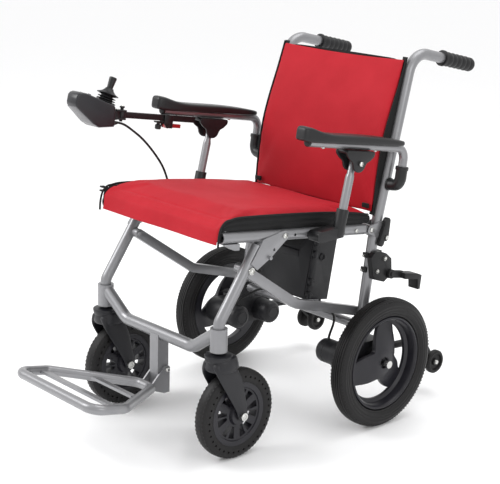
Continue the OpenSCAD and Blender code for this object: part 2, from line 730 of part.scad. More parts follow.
module armrest_fittings() {
  color([0.12, 0.12, 0.12]) place() both_sides() {
    // Knuckle: two cheeks and a saddle under the tube
    for (x = [arm_x - 18, arm_x + 13]) slab(x, x + 5) {
      disc_at(knuckle_pt, 20);
      polygon([arm_pt(112, -11), arm_pt(192, -11), arm_pt(182, -32), arm_pt(122, -32)]);
    }
    xbar(knuckle_pt, arm_x - 21, arm_x + 21, 4);
    slab(arm_x - 18, arm_x + 18) polygon([arm_pt(112, -arm_d / 2 - near_gap),
      arm_pt(192, -arm_d / 2 - near_gap), arm_pt(192, -15), arm_pt(112, -15)]);
    // Rear elbow: sleeve on the tube and a trunnion into the cane
    difference() {
      union() {
        at_elbow() cylinder(r = 14.5, h = 46);
        xbar(arm_pivot, plate_x + near_gap, arm_x + 14, 13);
      }
      at_elbow() translate([0, 0, 14]) cylinder(d = arm_d, h = 60);
    }
    xbar(arm_pivot, frame_x - tube_r - 2, plate_x + near_gap, pin_r);
  }
  // Clamp under the right armrest that holds the controller's bar
  color([0.12, 0.12, 0.12]) place() {
    for (x = [ctrl_x - bar_t / 2 - near_gap - 4, ctrl_x + bar_t / 2 + near_gap]) slab(x, x + 4)
      polygon([arm_pt(-2, -arm_d / 2 - 0.5), arm_pt(24, -arm_d / 2 - 0.5), arm_pt(24, bar_h - 24),
        arm_pt(6, bar_h - 24), arm_pt(-2, bar_h - 12)]);
    slab(ctrl_x - bar_t / 2 - near_gap - 4, ctrl_x + bar_t / 2 + near_gap + 4)
      polygon([arm_pt(-2, bar_h - 7 - near_gap), arm_pt(24, bar_h - 7 - near_gap),
        arm_pt(24, bar_h - 9.8), arm_pt(-2, bar_h - 9.8)]);
    xbar(clamp_pivot, ctrl_x - bar_t / 2 - 1, ctrl_x + bar_t / 2 + 1, 3);
  }
}
strut_d = 20;
strut_x = arm_x - 4;
strut_foot = strut_pivot + [52, 2];
strut_dir = unit(knuckle_pt - strut_foot);
module strut_tubes() {
  a = 90 - atan2(strut_dir[1], strut_dir[0]);
  color("silver") place() both_sides() {
    p = strut_foot + 16 * strut_dir;
    translate([strut_x, p[0], p[1]]) rotate([-a, 0, 0])
      linear_extrude(norm(knuckle_pt - strut_foot) - 16 - 24) section(strut_d, 1.5);
    // Eye with room around the knuckle's bolt, because this pivot carries no load when folding
    slab(strut_x - 8, strut_x + 8) difference() {
      link_shape(knuckle_pt - 22 * strut_dir, knuckle_pt, 12);
      disc_at(knuckle_pt, 7.4);
    }
  }
}
module strut_elbows() {
  a = 90 - atan2(strut_dir[1], strut_dir[0]);
  color([0.12, 0.12, 0.12]) place() both_sides() {
    difference() {
      union() {
        translate([strut_x, strut_foot[0], strut_foot[1]]) rotate([-a, 0, 0])
          translate([0, 0, -10]) cylinder(r = 14, h = 62);
        slab(plate_x + plate_t + near_gap, strut_x + 9)
          link_shape(strut_pivot - [8, 0], strut_foot, 12.5);
      }
      translate([strut_x, strut_foot[0], strut_foot[1]]) rotate([-a, 0, 0])
        translate([0, 0, 16]) cylinder(d = strut_d, h = 60);
    }
    xbar(strut_pivot, frame_x - tube_r - 2, plate_x + plate_t + near_gap, pin_r);
  }
}

// ---- Controller, on the right armrest (-X) ----
ctrl_x = -arm_x + 4;
bar_t = 12;
bar_h = -arm_d / 2 - 7.5;
swing_at = arm_pt(-126, bar_h);
// Just clear of the box's back wall, at a height up it
function shell_back(h) = box_back + h * unit(box_top - box_back) + [near_gap, 0];
module at_swing() {
  translate([ctrl_x, swing_at[0], swing_at[1]]) rotate([-arm_slope, 0, 0]) children();
}
module controller_arm() {
  color([0.12, 0.12, 0.12]) place() difference() {
    union() {
      slab(ctrl_x - bar_t / 2, ctrl_x + bar_t / 2) polygon([arm_pt(-126, bar_h - 7),
        arm_pt(96, bar_h - 7), arm_pt(96, bar_h + 7), arm_pt(-126, bar_h + 7)]);
      at_swing() translate([0, 0, -7]) cylinder(r = 10, h = 14);
    }
    at_swing() translate([0, 0, -20]) cylinder(r = 4 + run_gap, h = 40);
  }
}
clamp_pivot = arm_pt(12, bar_h - 18);
module arm_clamp_lever() {
  color("red") place() slab(ctrl_x - bar_t / 2 + near_gap, ctrl_x + bar_t / 2 - near_gap)
    difference() {
      union() {
        disc_at(clamp_pivot, 7);
        strip(clamp_pivot, clamp_pivot + [40, -6], 9);
      }
      disc_at(clamp_pivot, 3 + run_gap);
    }
}
module controller_bracket() {
  color([0.12, 0.12, 0.12]) place() {
    // Fork plates over and under the end of the bar, with the pin the box swings on
    at_swing() {
      for (z = [-11.5, 7.5]) {
        translate([0, 0, z]) cylinder(r = 12, h = 4);
        translate([-11, -22, z]) cube([22, 22, 4]);
      }
      translate([0, 0, -16]) cylinder(r = 4, h = 32);
      translate([0, 0, 16]) cylinder(r = 6, h = 4);
    }
    slab(ctrl_x - 10, ctrl_x + 10) polygon([swing_at + [-12, 11], swing_at + [-12, -9],
      shell_back(12), shell_back(34)]);
  }
}
box_nose = [-500, axle_z + 588];
box_top = [-398, axle_z + 570];
box_back = [-401, axle_z + 521];
box_heel = [-450, axle_z + 524];
well_r = 13;
stick_depth = 17;
module controller_shell() {
  color([0.14, 0.14, 0.15]) place() translate([cable_x, cable_start[0] - near_gap, cable_start[1]])
    rotate([90, 0, 0]) cylinder(r = 4.5, h = 10);
  color([0.14, 0.14, 0.15]) place() difference() {
    slab(ctrl_x - box_w / 2, ctrl_x + box_w / 2) polygon([box_nose + [-2, 4],
      box_nose + [6, 16], box_nose + [22, 17], box_top, box_back, box_heel,
      box_nose + [-4, -10]]);
    stick_frame() translate([0, 0, -30]) cylinder(r = well_r, h = 60);
    // Seats of the gimbal's trunnions
    stick_frame() translate([0, 0, -stick_depth]) rotate([0, 90, 0])
      cylinder(r = 2 + run_gap, h = 2 * well_r + 4, center = true);
    for (b = buttons) in_face(b) translate([0, 0, -6]) cylinder(r = 4 + near_gap, h = 20);
  }
}
face_from = box_nose + [22, 17];
face_dir = unit(box_top - face_from);
face_tilt = atan2(face_dir[1], face_dir[0]);
stick_l = 74;
stick_base = face_from + stick_l * face_dir;
module stick_frame() {
  translate([ctrl_x, stick_base[0], stick_base[1]]) rotate([face_tilt, 0, 0]) children();
}
cable_x = -238;
cable_start = [box_back[0] + 9, box_back[1] + 5];
// Button places on the top face: distance along the face and sideways
buttons = [[14, -16], [14, 16], [36, -20], [36, 20]];
module in_face(b) {
  p = face_from + b[0] * face_dir;
  translate([ctrl_x + b[1], p[0], p[1]]) rotate([face_tilt, 0, 0]) children();
}
module face_button(i) {
  color([0.3, 0.3, 0.32]) place() in_face(buttons[i]) translate([0, 0, -4]) cylinder(r = 4, h = 6);
}
module power_button() { face_button(0); }
module horn_button() { face_button(1); }
module faster_button() { face_button(2); }
module slower_button() { face_button(3); }
module joystick_boot() {
  color([0.1, 0.1, 0.1]) place() stick_frame() translate([0, 0, near_gap]) difference() {
    union() {
      for (i = [0 : 2]) translate([0, 0, i * 6]) {
        cylinder(r1 = 23 - i, r2 = 21 - i, h = 3);
        translate([0, 0, 3]) cylinder(r = 14, h = 3.001);
      }
      translate([0, 0, 18]) cylinder(r1 = 26, r2 = 10, h = 14);
    }
    translate([0, 0, -1]) cylinder(r = 5.5, h = 60);
  }
}
// Ring that tips forward and back in the box; the stick tips sideways in the ring
module joystick_gimbal() {
  color("silver") place() stick_frame() translate([0, 0, -stick_depth]) difference() {
    union() {
      translate([0, 0, -4]) cylinder(r = well_r - 1.2, h = 8);
      rotate([0, 90, 0]) cylinder(r = 2, h = 2 * well_r + 3, center = true);
    }
    translate([0, 0, -5]) cylinder(r = 7.5, h = 10);
    rotate([90, 0, 0]) cylinder(r = 2 + run_gap, h = 40, center = true);
  }
}
module joystick_knob() {
  color([0.1, 0.1, 0.1]) place() stick_frame() {
    translate([0, 0, -stick_depth - 5]) cylinder(r = 4, h = 42 + stick_depth);
    translate([0, 0, -stick_depth]) rotate([90, 0, 0])
      cylinder(r = 2, h = 2 * well_r - 3, center = true);
    translate([0, 0, 34]) cylinder(r1 = knob_d / 2 - 2, r2 = knob_d / 2, h = 24);
    translate([0, 0, 58]) cylinder(r1 = knob_d / 2, r2 = knob_d / 2 - 3, h = 3);
  }
}
cable_route = [[-238, -392, 681], [-238, -380, 681], [-238, -360, 674], [-238, -336, 658],
  [-238, -306, 634], [-238, -274, 600], [-238, -246, 562], [-237, -230, 524], [-235, -222, 490],
  [-231, -212, 458], [-229, -182, 434], [-229, -142, 420], [-229, -102, 411], [-228, -62, 405],
  [-224, -30, 401], [-210, -15, 398], [-188, -11, 396], [-160, -12, 394], [-130, -15, 393],
  [-104, -19, 393], [-90, -20, 393], [-82.2, -20, 393]];
module controller_cable() {
  color([0.1, 0.1, 0.1]) place()
    cord([for (p = cable_route) [p[0], p[1], p[2] + axle_z - 155]], 5.5, 63);
}

back_canes();
rear_cross_tube();
hinge_brackets();
drive_housings();
drive_motors();
anti_tip_arms();
backrest_sling();
backrest_cushion();
push_grips();
brake_bodies();
battery_case();
rear_bolts();
motor_leads();
fold_lever_left();
fold_lever_right();
brake_pedal_left();
brake_pedal_right();
battery_pack();
seat_rails();
seat_cross_tubes();
seat_sling();
seat_cushion();
seat_bolts();
front_legs();
gusset_plates();
front_cross_tube();
front_bolts();
lower_rails();
caster_fork_left();
caster_fork_right();
caster_axle_left();
caster_axle_right();
caster_tyre_left();
caster_tyre_right();
caster_rim_left();
caster_rim_right();
drive_tyre_left();
drive_tyre_right();
drive_rim_left();
drive_rim_right();
anti_tip_wheels_left();
anti_tip_wheels_right();
footrest();
armrest_tubes();
armrest_pads();
armrest_fittings();
strut_tubes();
strut_elbows();
controller_arm();
arm_clamp_lever();
controller_bracket();
controller_shell();
joystick_boot();
joystick_gimbal();
joystick_knob();
power_button();
horn_button();
faster_button();
slower_button();
controller_cable();
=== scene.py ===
import json
import math

import bpy
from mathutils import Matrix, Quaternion, Vector

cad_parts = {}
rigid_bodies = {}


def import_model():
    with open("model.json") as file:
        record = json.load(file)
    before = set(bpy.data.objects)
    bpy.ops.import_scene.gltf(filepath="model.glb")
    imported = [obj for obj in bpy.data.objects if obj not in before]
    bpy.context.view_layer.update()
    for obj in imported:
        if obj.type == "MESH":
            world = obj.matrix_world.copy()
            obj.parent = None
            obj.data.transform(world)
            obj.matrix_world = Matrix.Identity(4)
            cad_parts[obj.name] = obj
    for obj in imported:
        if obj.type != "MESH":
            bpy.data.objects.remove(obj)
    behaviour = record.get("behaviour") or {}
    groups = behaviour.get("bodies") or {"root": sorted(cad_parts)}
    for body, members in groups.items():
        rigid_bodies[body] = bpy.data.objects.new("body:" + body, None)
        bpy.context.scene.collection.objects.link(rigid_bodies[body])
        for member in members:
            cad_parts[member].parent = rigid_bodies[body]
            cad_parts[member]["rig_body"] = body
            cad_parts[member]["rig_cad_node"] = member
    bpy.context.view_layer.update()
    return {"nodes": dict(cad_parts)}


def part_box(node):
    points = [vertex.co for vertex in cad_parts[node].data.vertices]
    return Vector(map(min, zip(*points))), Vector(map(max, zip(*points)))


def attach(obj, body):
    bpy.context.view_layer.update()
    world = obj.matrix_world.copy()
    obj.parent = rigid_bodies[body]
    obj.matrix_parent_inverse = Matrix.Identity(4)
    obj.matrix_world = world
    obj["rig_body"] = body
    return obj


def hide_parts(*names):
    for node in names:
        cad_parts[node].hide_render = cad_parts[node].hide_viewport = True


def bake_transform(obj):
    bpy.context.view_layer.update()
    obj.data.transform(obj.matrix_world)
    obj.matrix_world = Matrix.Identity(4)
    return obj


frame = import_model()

# ---- Camera, light and floor ----
# A long lens a little above the armrests looks at the chair's left front corner, in an even
# white studio with one large soft light on the user's right.
rim_low, rim_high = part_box("drive_rim_left")
axle_y = (rim_low.y + rim_high.y) / 2


def spot(x, y, z):
    """A place from millimetres: to the user's left, behind the drive axle, above the floor."""
    return Vector((x, y, z)) / 1000 + Vector((0, axle_y, 0))


camera = bpy.data.objects.new("camera", bpy.data.cameras.new("camera"))
bpy.context.scene.collection.objects.link(camera)
bpy.context.scene.camera = camera
camera.data.sensor_width = 36
camera.data.lens = 93.6
turn, rise, tilt = math.radians(47.674), math.radians(14.967), math.radians(1.573)
reach = 3.1499
aim = spot(-59.26, -115.18, 389.56)
backwards = Vector((math.sin(turn) * math.cos(rise), -math.cos(turn) * math.cos(rise), math.sin(rise)))
camera.location = aim + backwards * reach
camera.rotation_mode = "QUATERNION"
camera.rotation_quaternion = backwards.to_track_quat("Z", "Y") @ Quaternion((0, 0, 1), tilt)

world = bpy.data.worlds.new("studio")
bpy.context.scene.world = world
world.use_nodes = True
sky = world.node_tree.nodes["Background"].inputs
sky["Color"].default_value = (1, 1, 1, 1)
sky["Strength"].default_value = 1.0
bpy.context.scene.view_settings.view_transform = "Standard"

for name, place, size, power in (
    ("key_light", (-1600, -2200, 2300), 1.6, 52),
    ("side_light", (2600, -600, 1500), 1.2, 10),
    ("top_light", (200, 600, 2800), 1.8, 26),
):
    lamp = bpy.data.objects.new(name, bpy.data.lights.new(name, "AREA"))
    bpy.context.scene.collection.objects.link(lamp)
    lamp.data.size = size
    lamp.data.energy = power
    lamp.location = spot(*place)
    lamp.rotation_mode = "QUATERNION"
    lamp.rotation_quaternion = (lamp.location - spot(0, -100, 400)).to_track_quat("Z", "Y")

bpy.ops.object.select_all(action="DESELECT")
bpy.ops.mesh.primitive_plane_add(size=60, location=(0, 0, -0.0005))
floor = bpy.context.object
floor.name = "floor"
floor_paint = bpy.data.materials.new("floor_paint")
floor_paint.use_nodes = True
floor_look = floor_paint.node_tree.nodes["Principled BSDF"].inputs
floor_look["Base Color"].default_value = (0.97, 0.97, 0.975, 1)
floor_look["Roughness"].default_value = 0.7
floor.data.materials.append(floor_paint)


# ---- Controller cable ----
# One black rubber lead, from the strain relief behind the joystick box, past the right armrest's
# strut, along the seat rail and into the battery case. It hangs between those holds.
def shader_group(name, inputs, outputs):
    """An empty node group with its named sockets."""
    group = bpy.data.node_groups.new(name, "ShaderNodeTree")
    for socket, kind, value in inputs:
        made = group.interface.new_socket(socket, in_out="INPUT", socket_type="NodeSocket" + kind)
        made.default_value = value
    for socket, kind in outputs:
        group.interface.new_socket(socket, in_out="OUTPUT", socket_type="NodeSocket" + kind)
    return group, group.nodes.new("NodeGroupInput"), group.nodes.new("NodeGroupOutput")


def wired(tree, kind, settings, **links):
    """A node with its settings, and its inputs linked or set. Spaces in input names are written _."""
    node = tree.nodes.new(kind)
    for key, value in settings.items():
        setattr(node, key, value)
    for key, value in links.items():
        numbered = key[0] == "i" and key[1:].isdigit()
        socket = node.inputs[int(key[1:]) if numbered else key.replace("_", " ")]
        if isinstance(value, bpy.types.NodeSocket):
            tree.links.new(value, socket)
        else:
            socket.default_value = value
    return node


def maths(tree, operation, *values, **settings):
    """The result of a math node on two or three values."""
    node = wired(tree, "ShaderNodeMath", {"operation": operation, **settings},
                 **{f"i{i}": value for i, value in enumerate(values)})
    return node.outputs[0]


def grouped(name, group, values, strength, relief, **settings):
    """A material led by a group, with plain values on its shader."""
    made = bpy.data.materials.new(name)
    made.use_nodes = True
    tree = made.node_tree
    shader = tree.nodes["Principled BSDF"]
    source = wired(tree, "ShaderNodeGroup", {"node_tree": group}, **values)
    bump = wired(tree, "ShaderNodeBump", {}, Strength=strength, Distance=relief,
                 Height=source.outputs["Height"])
    tree.links.new(source.outputs["Colour"], shader.inputs["Base Color"])
    tree.links.new(source.outputs["Roughness"], shader.inputs["Roughness"])
    tree.links.new(bump.outputs["Normal"], shader.inputs["Normal"])
    for socket, value in settings.items():
        shader.inputs[socket.replace("_", " ")].default_value = value
    return made


# Handling wear: broad cloudy patches of a second colour, and a fine grain for the bump
group_results = [("Colour", "Color"), ("Roughness", "Float"), ("Height", "Float")]
wear_group, wear_in, wear_out = shader_group(
    "handling_wear",
    [("Colour", "Color", (0.5, 0.5, 0.5, 1)), ("Worn", "Color", (0.5, 0.5, 0.5, 1)),
     ("Roughness", "Float", 0.5), ("Patch Scale", "Float", 12), ("Amount", "Float", 0.3),
     ("Grain Scale", "Float", 900)], group_results)
place = wear_group.nodes.new("ShaderNodeTexCoord").outputs["Object"]
patches = wired(wear_group, "ShaderNodeTexNoise", {}, Vector=place,
                Scale=wear_in.outputs["Patch Scale"], Detail=6.0, Roughness=0.65)
spread = wired(wear_group, "ShaderNodeMapRange", {}, Value=patches.outputs["Fac"],
               From_Min=0.42, From_Max=0.72, To_Min=0.0, To_Max=1.0).outputs["Result"]
share = maths(wear_group, "MULTIPLY", spread, wear_in.outputs["Amount"])
blended = wired(wear_group, "ShaderNodeMix", {"data_type": "RGBA"}, i0=share,
                i6=wear_in.outputs["Colour"], i7=wear_in.outputs["Worn"])
grain = wired(wear_group, "ShaderNodeTexNoise", {}, Vector=place,
              Scale=wear_in.outputs["Grain Scale"], Detail=3.0, Roughness=0.6)
uneven = maths(wear_group, "MULTIPLY_ADD", spread, 0.14, wear_in.outputs["Roughness"])
for result, socket in ((blended.outputs[2], "Colour"), (uneven, "Roughness"),
                       (grain.outputs["Fac"], "Height")):
    wear_group.links.new(result, wear_out.inputs[socket])


def finish(name, colour, worn, roughness, metal=0.0, patch=12, amount=0.3, grain=900, relief=0.00003,
           coat=0.0, sheen=0.0, gloss=0.5):
    """A material whose colour, roughness and grain come from the handling wear group."""
    look = {"Colour": (*colour, 1), "Worn": (*worn, 1), "Roughness": roughness, "Patch_Scale": patch,
            "Amount": amount, "Grain_Scale": grain}
    return grouped(name, wear_group, look, 1.0, relief, Metallic=metal, Specular_IOR_Level=gloss,
                   Coat_Weight=coat, Coat_Roughness=0.25, Sheen_Weight=sheen)


def only(piece):
    """Selects one object and nothing else."""
    bpy.ops.object.select_all(action="DESELECT")
    piece.select_set(True)
    bpy.context.view_layer.objects.active = piece


def flowing(points, steps):
    """Places along the smooth curve through given points."""
    places = []
    last = len(points) - 1
    for step in range(steps + 1):
        s = step / steps * last
        i = min(last - 1, int(s))
        t = s - i
        a, b, c, d = (points[min(last, max(0, i + k))] for k in (-1, 0, 1, 2))
        places.append(0.5 * (2 * b + (c - a) * t + (2 * a - 5 * b + 4 * c - d) * t * t
                             + (3 * b - a - 3 * c + d) * t ** 3))
    return places


def tube(name, places, radius, sides=6):
    """A round cord or rod along places, as a closed mesh."""
    line = bpy.data.curves.new(name, "CURVE")
    line.dimensions = "3D"
    line.bevel_depth = radius
    line.bevel_resolution = sides // 2
    line.use_fill_caps = True
    run = line.splines.new("POLY")
    run.points.add(len(places) - 1)
    for point, where in zip(run.points, places):
        point.co = (*where, 1)
    piece = bpy.data.objects.new(name, line)
    bpy.context.scene.collection.objects.link(piece)
    only(piece)
    bpy.ops.object.convert(target="MESH")
    bpy.ops.object.shade_smooth()
    return piece


def dress(piece, material, body, slot, *nodes):
    """Gives a finished piece its material and body, and hides the nodes it stands for. The slot is not used."""
    piece.data.materials.clear()
    piece.data.materials.append(material)
    if body:
        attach(piece, body)
    if nodes:
        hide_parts(*nodes)
    return piece


cable_rubber = finish("cable_rubber", (0.006, 0.006, 0.006), (0.014, 0.014, 0.014), 0.42, grain=1500, gloss=0.3)
cable_route = [spot(*p) for p in (
    (-238, -392, 681), (-238, -380, 681), (-238, -360, 674), (-238, -336, 658), (-238, -306, 634),
    (-238, -274, 600), (-238, -246, 562), (-237, -230, 524), (-235, -222, 490), (-231, -212, 458),
    (-229, -182, 434), (-229, -142, 420), (-229, -102, 411), (-228, -62, 405), (-224, -30, 401),
    (-210, -15, 398), (-188, -11, 396), (-160, -12, 394), (-130, -15, 393), (-104, -19, 393),
    (-90, -20, 393), (-82.2, -20, 393))]
cable_line = flowing(cable_route, 168)
cable = dress(tube("controller_lead", cable_line, 0.00275, 8), cable_rubber, None, "cable_rubber",
              "controller_cable")
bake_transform(cable)

# ---- Frame tubes ----
# Round aluminium tube, bent cold, drilled for its pins and sprayed silver grey with a clear coat.
# The two head tubes, the seat rails and the lower rails have the same paint.
silver = finish("silver_paint", (0.25, 0.25, 0.26), (0.18, 0.18, 0.187), 0.32, metal=0.6, patch=7,
                amount=0.35, grain=1600, relief=0.00001, coat=0.3)


def shaded(piece, angle):
    """Smooths a piece, except over edges sharper than an angle."""
    only(piece)
    bpy.ops.object.shade_smooth_by_angle(angle=math.radians(angle))
    return piece


def paint(material, *nodes):
    """Gives carried-over frame parts their material."""
    for node in nodes:
        part = frame["nodes"][node]
        part.data.materials.clear()
        part.data.materials.append(material)
        shaded(part, 32)


paint(silver, "back_canes", "rear_cross_tube", "front_legs", "front_cross_tube", "seat_rails",
      "seat_cross_tubes", "armrest_tubes", "footrest")


# ---- Plates, brackets and lower rails ----
# Pressed and machined plates, with their edges broken. Each is worked from the frame's own part:
# its doubles are merged, its flat faces joined and every sharp edge gets a small bevel.
def edited(piece, *steps):
    """Works on the whole of a piece: each step is a mesh operator and its settings."""
    only(piece)
    bpy.ops.object.mode_set(mode="EDIT")
    for operator, settings in steps:
        bpy.ops.mesh.select_all(action="SELECT")
        operator(**settings)
    bpy.ops.object.mode_set(mode="OBJECT")
    return piece


outwards = (bpy.ops.mesh.normals_make_consistent, {"inside": False})


def softened(name, node, width, segments=2):
    """A copy of a frame part with bevelled edges."""
    piece = frame["nodes"][node].copy()
    piece.data = frame["nodes"][node].data.copy()
    piece.name = name
    piece.parent = None
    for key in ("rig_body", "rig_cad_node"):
        if key in piece:
            del piece[key]
    bpy.context.scene.collection.objects.link(piece)
    edited(piece, (bpy.ops.mesh.remove_doubles, {"threshold": 0.00002}),
           (bpy.ops.mesh.dissolve_limited, {"angle_limit": math.radians(1.5)}))
    return bevelled(piece, width, segments)


def bevelled(piece, width, segments=2, angle=35):
    """Bevels the sharp edges of a piece and smooths it."""
    edge = piece.modifiers.new("edge", "BEVEL")
    edge.width = width / 1000
    edge.segments = segments
    edge.limit_method = "ANGLE"
    edge.angle_limit = math.radians(angle)
    edge.use_clamp_overlap = True
    edge.miter_outer = "MITER_ARC"
    only(piece)
    bpy.ops.object.modifier_apply(modifier=edge.name)
    return shaded(piece, 50)


black_steel = finish("black_powder_coat", (0.008, 0.008, 0.009), (0.02, 0.02, 0.021), 0.45, patch=16,
                     grain=1100, relief=0.00004, coat=0.06, gloss=0.3)
for name, node, body, width in (
    ("hinge_plates", "hinge_brackets", "rear_frame", 0.5),
    ("gusset_pair", "gusset_plates", "front_frame", 0.5),
    ("lower_rail_pair", "lower_rails", "lower_rails", 1.2),
):
    dress(softened(name, node, width), silver, body, "silver_paint", node)
for name, node, body, width in (
    ("brake_housings", "brake_bodies", "rear_frame", 1.5),
    ("brake_pedal_l", "brake_pedal_left", "brake_pedal_left", 1.2),
    ("brake_pedal_r", "brake_pedal_right", "brake_pedal_right", 1.2),
    ("fold_grip_l", "fold_lever_left", "fold_lever_left", 2.0),
    ("fold_grip_r", "fold_lever_right", "fold_lever_right", 2.0),
    ("reach_bar", "controller_arm", "controller_slide", 1.0),
    ("swing_bracket", "controller_bracket", "controller", 0.8),
    ("tip_arms", "anti_tip_arms", "rear_frame", 0.8),
):
    dress(softened(name, node, width), black_steel, body, "black_paint", node)

# ---- Bolts and axles ----
# Zinc-plated button-head bolts with a hexagon socket, at every pivot that shows, and the plain
# zinc axles and pins that the frame carries.
zinc = finish("zinc_plate", (0.62, 0.62, 0.6), (0.4, 0.4, 0.38), 0.22, metal=1.0, patch=60, amount=0.5,
              grain=2500, relief=0.00001)
paint(zinc, "rear_bolts", "seat_bolts", "front_bolts", "caster_axle_left", "caster_axle_right",
      "joystick_gimbal")


def trace(name, points, filled=True):
    """A wire drawn by extruding one vertex from point to point, filled to a face when asked."""
    bpy.ops.object.select_all(action="DESELECT")
    bpy.ops.mesh.primitive_plane_add(size=0.01, location=points[0])
    piece = bpy.context.object
    piece.name = name
    bpy.ops.object.transform_apply(location=True, rotation=True, scale=True)
    bpy.ops.object.mode_set(mode="EDIT")
    bpy.ops.mesh.select_all(action="SELECT")
    bpy.ops.mesh.merge(type="CENTER")
    for before, after in zip(points, points[1:]):
        bpy.ops.mesh.extrude_region_move(TRANSFORM_OT_translate={"value": after - before})
    if filled:
        bpy.ops.mesh.select_all(action="SELECT")
        bpy.ops.mesh.edge_face_add()
    bpy.ops.object.mode_set(mode="OBJECT")
    return piece


def lathe(name, centre, outline, steps=48, axis=(1, 0, 0)):
    """A turned piece: outline gives (distance along the axis, radius) in millimetres."""
    along = Vector(axis).normalized()
    out = Vector((0, 0, 1)) if abs(along.z) < 0.9 else Vector((0, 1, 0))
    out = (out - along * out.dot(along)).normalized()
    points = [centre + (along * a + out * r) / 1000 for a, r in outline]
    turn_round = {"steps": steps, "angle": math.tau, "center": centre, "axis": along}
    piece = edited(trace(name, points, filled=False), (bpy.ops.mesh.spin, turn_round),
                   (bpy.ops.mesh.remove_doubles, {"threshold": 0.00001}), outwards)
    return shaded(piece, 38)


def joined(name, pieces):
    """Several meshes as one piece."""
    only(pieces[0])
    for piece in pieces[1:]:
        piece.select_set(True)
    bpy.ops.object.join()
    pieces[0].name = name
    return pieces[0]


def button_bolt(place, radius, side=1, axis=(1, 0, 0)):
    """The domed head of a bolt, with its socket, standing out along an axis."""
    r = radius
    profile = [(-0.4 * r, 0.9 * r), (0, r), (0.25 * r, 0.97 * r), (0.5 * r, 0.8 * r), (0.66 * r, 0.52 * r),
               (0.3 * r, 0.46 * r), (0.3 * r, 0)]
    return lathe("bolt", place, profile, 18, [side * a for a in axis])


def bolted(name, body, heads):
    """Bolt heads as one zinc piece on their body."""
    return dress(joined(name, heads), zinc, body, "zinc_steel")


hinge_bolts = {
    "seat_frame": [(222, -268.5, 488.3, 6.5), (222, -180, 479, 5), (218.5, -39.7, 464, 4.5),
                   (218.5, -109.3, 471.5, 4.5)],
    "front_frame": [(222, -362, 424, 6)],
    "rear_frame": [(236.5, 67, 347, 5.5), (221.3, 10, 459, 6.5), (221.3, 9.5, 254, 6),
                   (236.6, 47, 387, 4), (236.6, 22, 360, 4)],
    "armrests": [(272, -91.4, 635, 6)],
}
for body, places in hinge_bolts.items():
    bolted(body + "_bolts", body, [button_bolt(spot(side * x, y, z), r, side)
                                   for x, y, z, r in places for side in (1, -1)])

# ---- Drive wheels ----
# Grey-black solid tyre with a ribbed crown and blocks along both shoulders, on a dished moulded
# rim with three broad spokes and a bolt in a deep round seat.
rubber = finish("tyre_rubber", (0.0055, 0.005, 0.0055), (0.017, 0.0155, 0.014), 0.5, patch=9, amount=0.35,
                grain=1300, relief=0.00005, gloss=0.3)
rim_plastic = finish("rim_plastic", (0.009, 0.0085, 0.0125), (0.02, 0.019, 0.024), 0.36, patch=14,
                     grain=1400, relief=0.00002, coat=0.12, gloss=0.35)


def cut(piece, cutters):
    """Cuts tools out of a piece and throws the tools away."""
    for cutter in cutters:
        bite = piece.modifiers.new("bite", "BOOLEAN")
        bite.operation = "DIFFERENCE"
        bite.solver = "EXACT"
        bite.object = cutter
        only(piece)
        bpy.ops.object.modifier_apply(modifier=bite.name)
        bpy.data.objects.remove(cutter)
    return piece


def thickened(face, way):
    """Pulls a flat face out along a way into a closed plate."""
    return edited(face, (bpy.ops.mesh.extrude_region_move, {"TRANSFORM_OT_translate": {"value": way}}),
                  outwards)


def slab(name, outline, x0, x1):
    """An outline in (y, z) made into a plate from x0 to x1, all in millimetres."""
    return thickened(trace(name, [spot(x0, y, z) for y, z in outline]), ((x1 - x0) / 1000, 0, 0))


def around(y, z, radius, start, end, steps):
    """Places on an arc in (y, z), in degrees from the rear."""
    angles = [math.radians(start + (end - start) * i / steps) for i in range(steps + 1)]
    return [(y + radius * math.cos(a), z + radius * math.sin(a)) for a in angles]


def repeated(piece, centre, count):
    """Copies a small piece around the wheel's axle, all in one mesh."""
    bpy.ops.object.transform_apply(location=True, rotation=True, scale=True)
    return edited(piece, (bpy.ops.mesh.spin, {"steps": count, "angle": math.tau, "center": centre,
                                              "axis": (1, 0, 0), "dupli": True}))


def blocks_round(name, place, size, centre, count):
    """A small block, repeated around the wheel's axle."""
    bpy.ops.object.select_all(action="DESELECT")
    bpy.ops.mesh.primitive_cube_add(size=1, location=place, scale=[s / 1000 for s in size])
    piece = bpy.context.object
    piece.name = name
    return repeated(piece, centre, count)


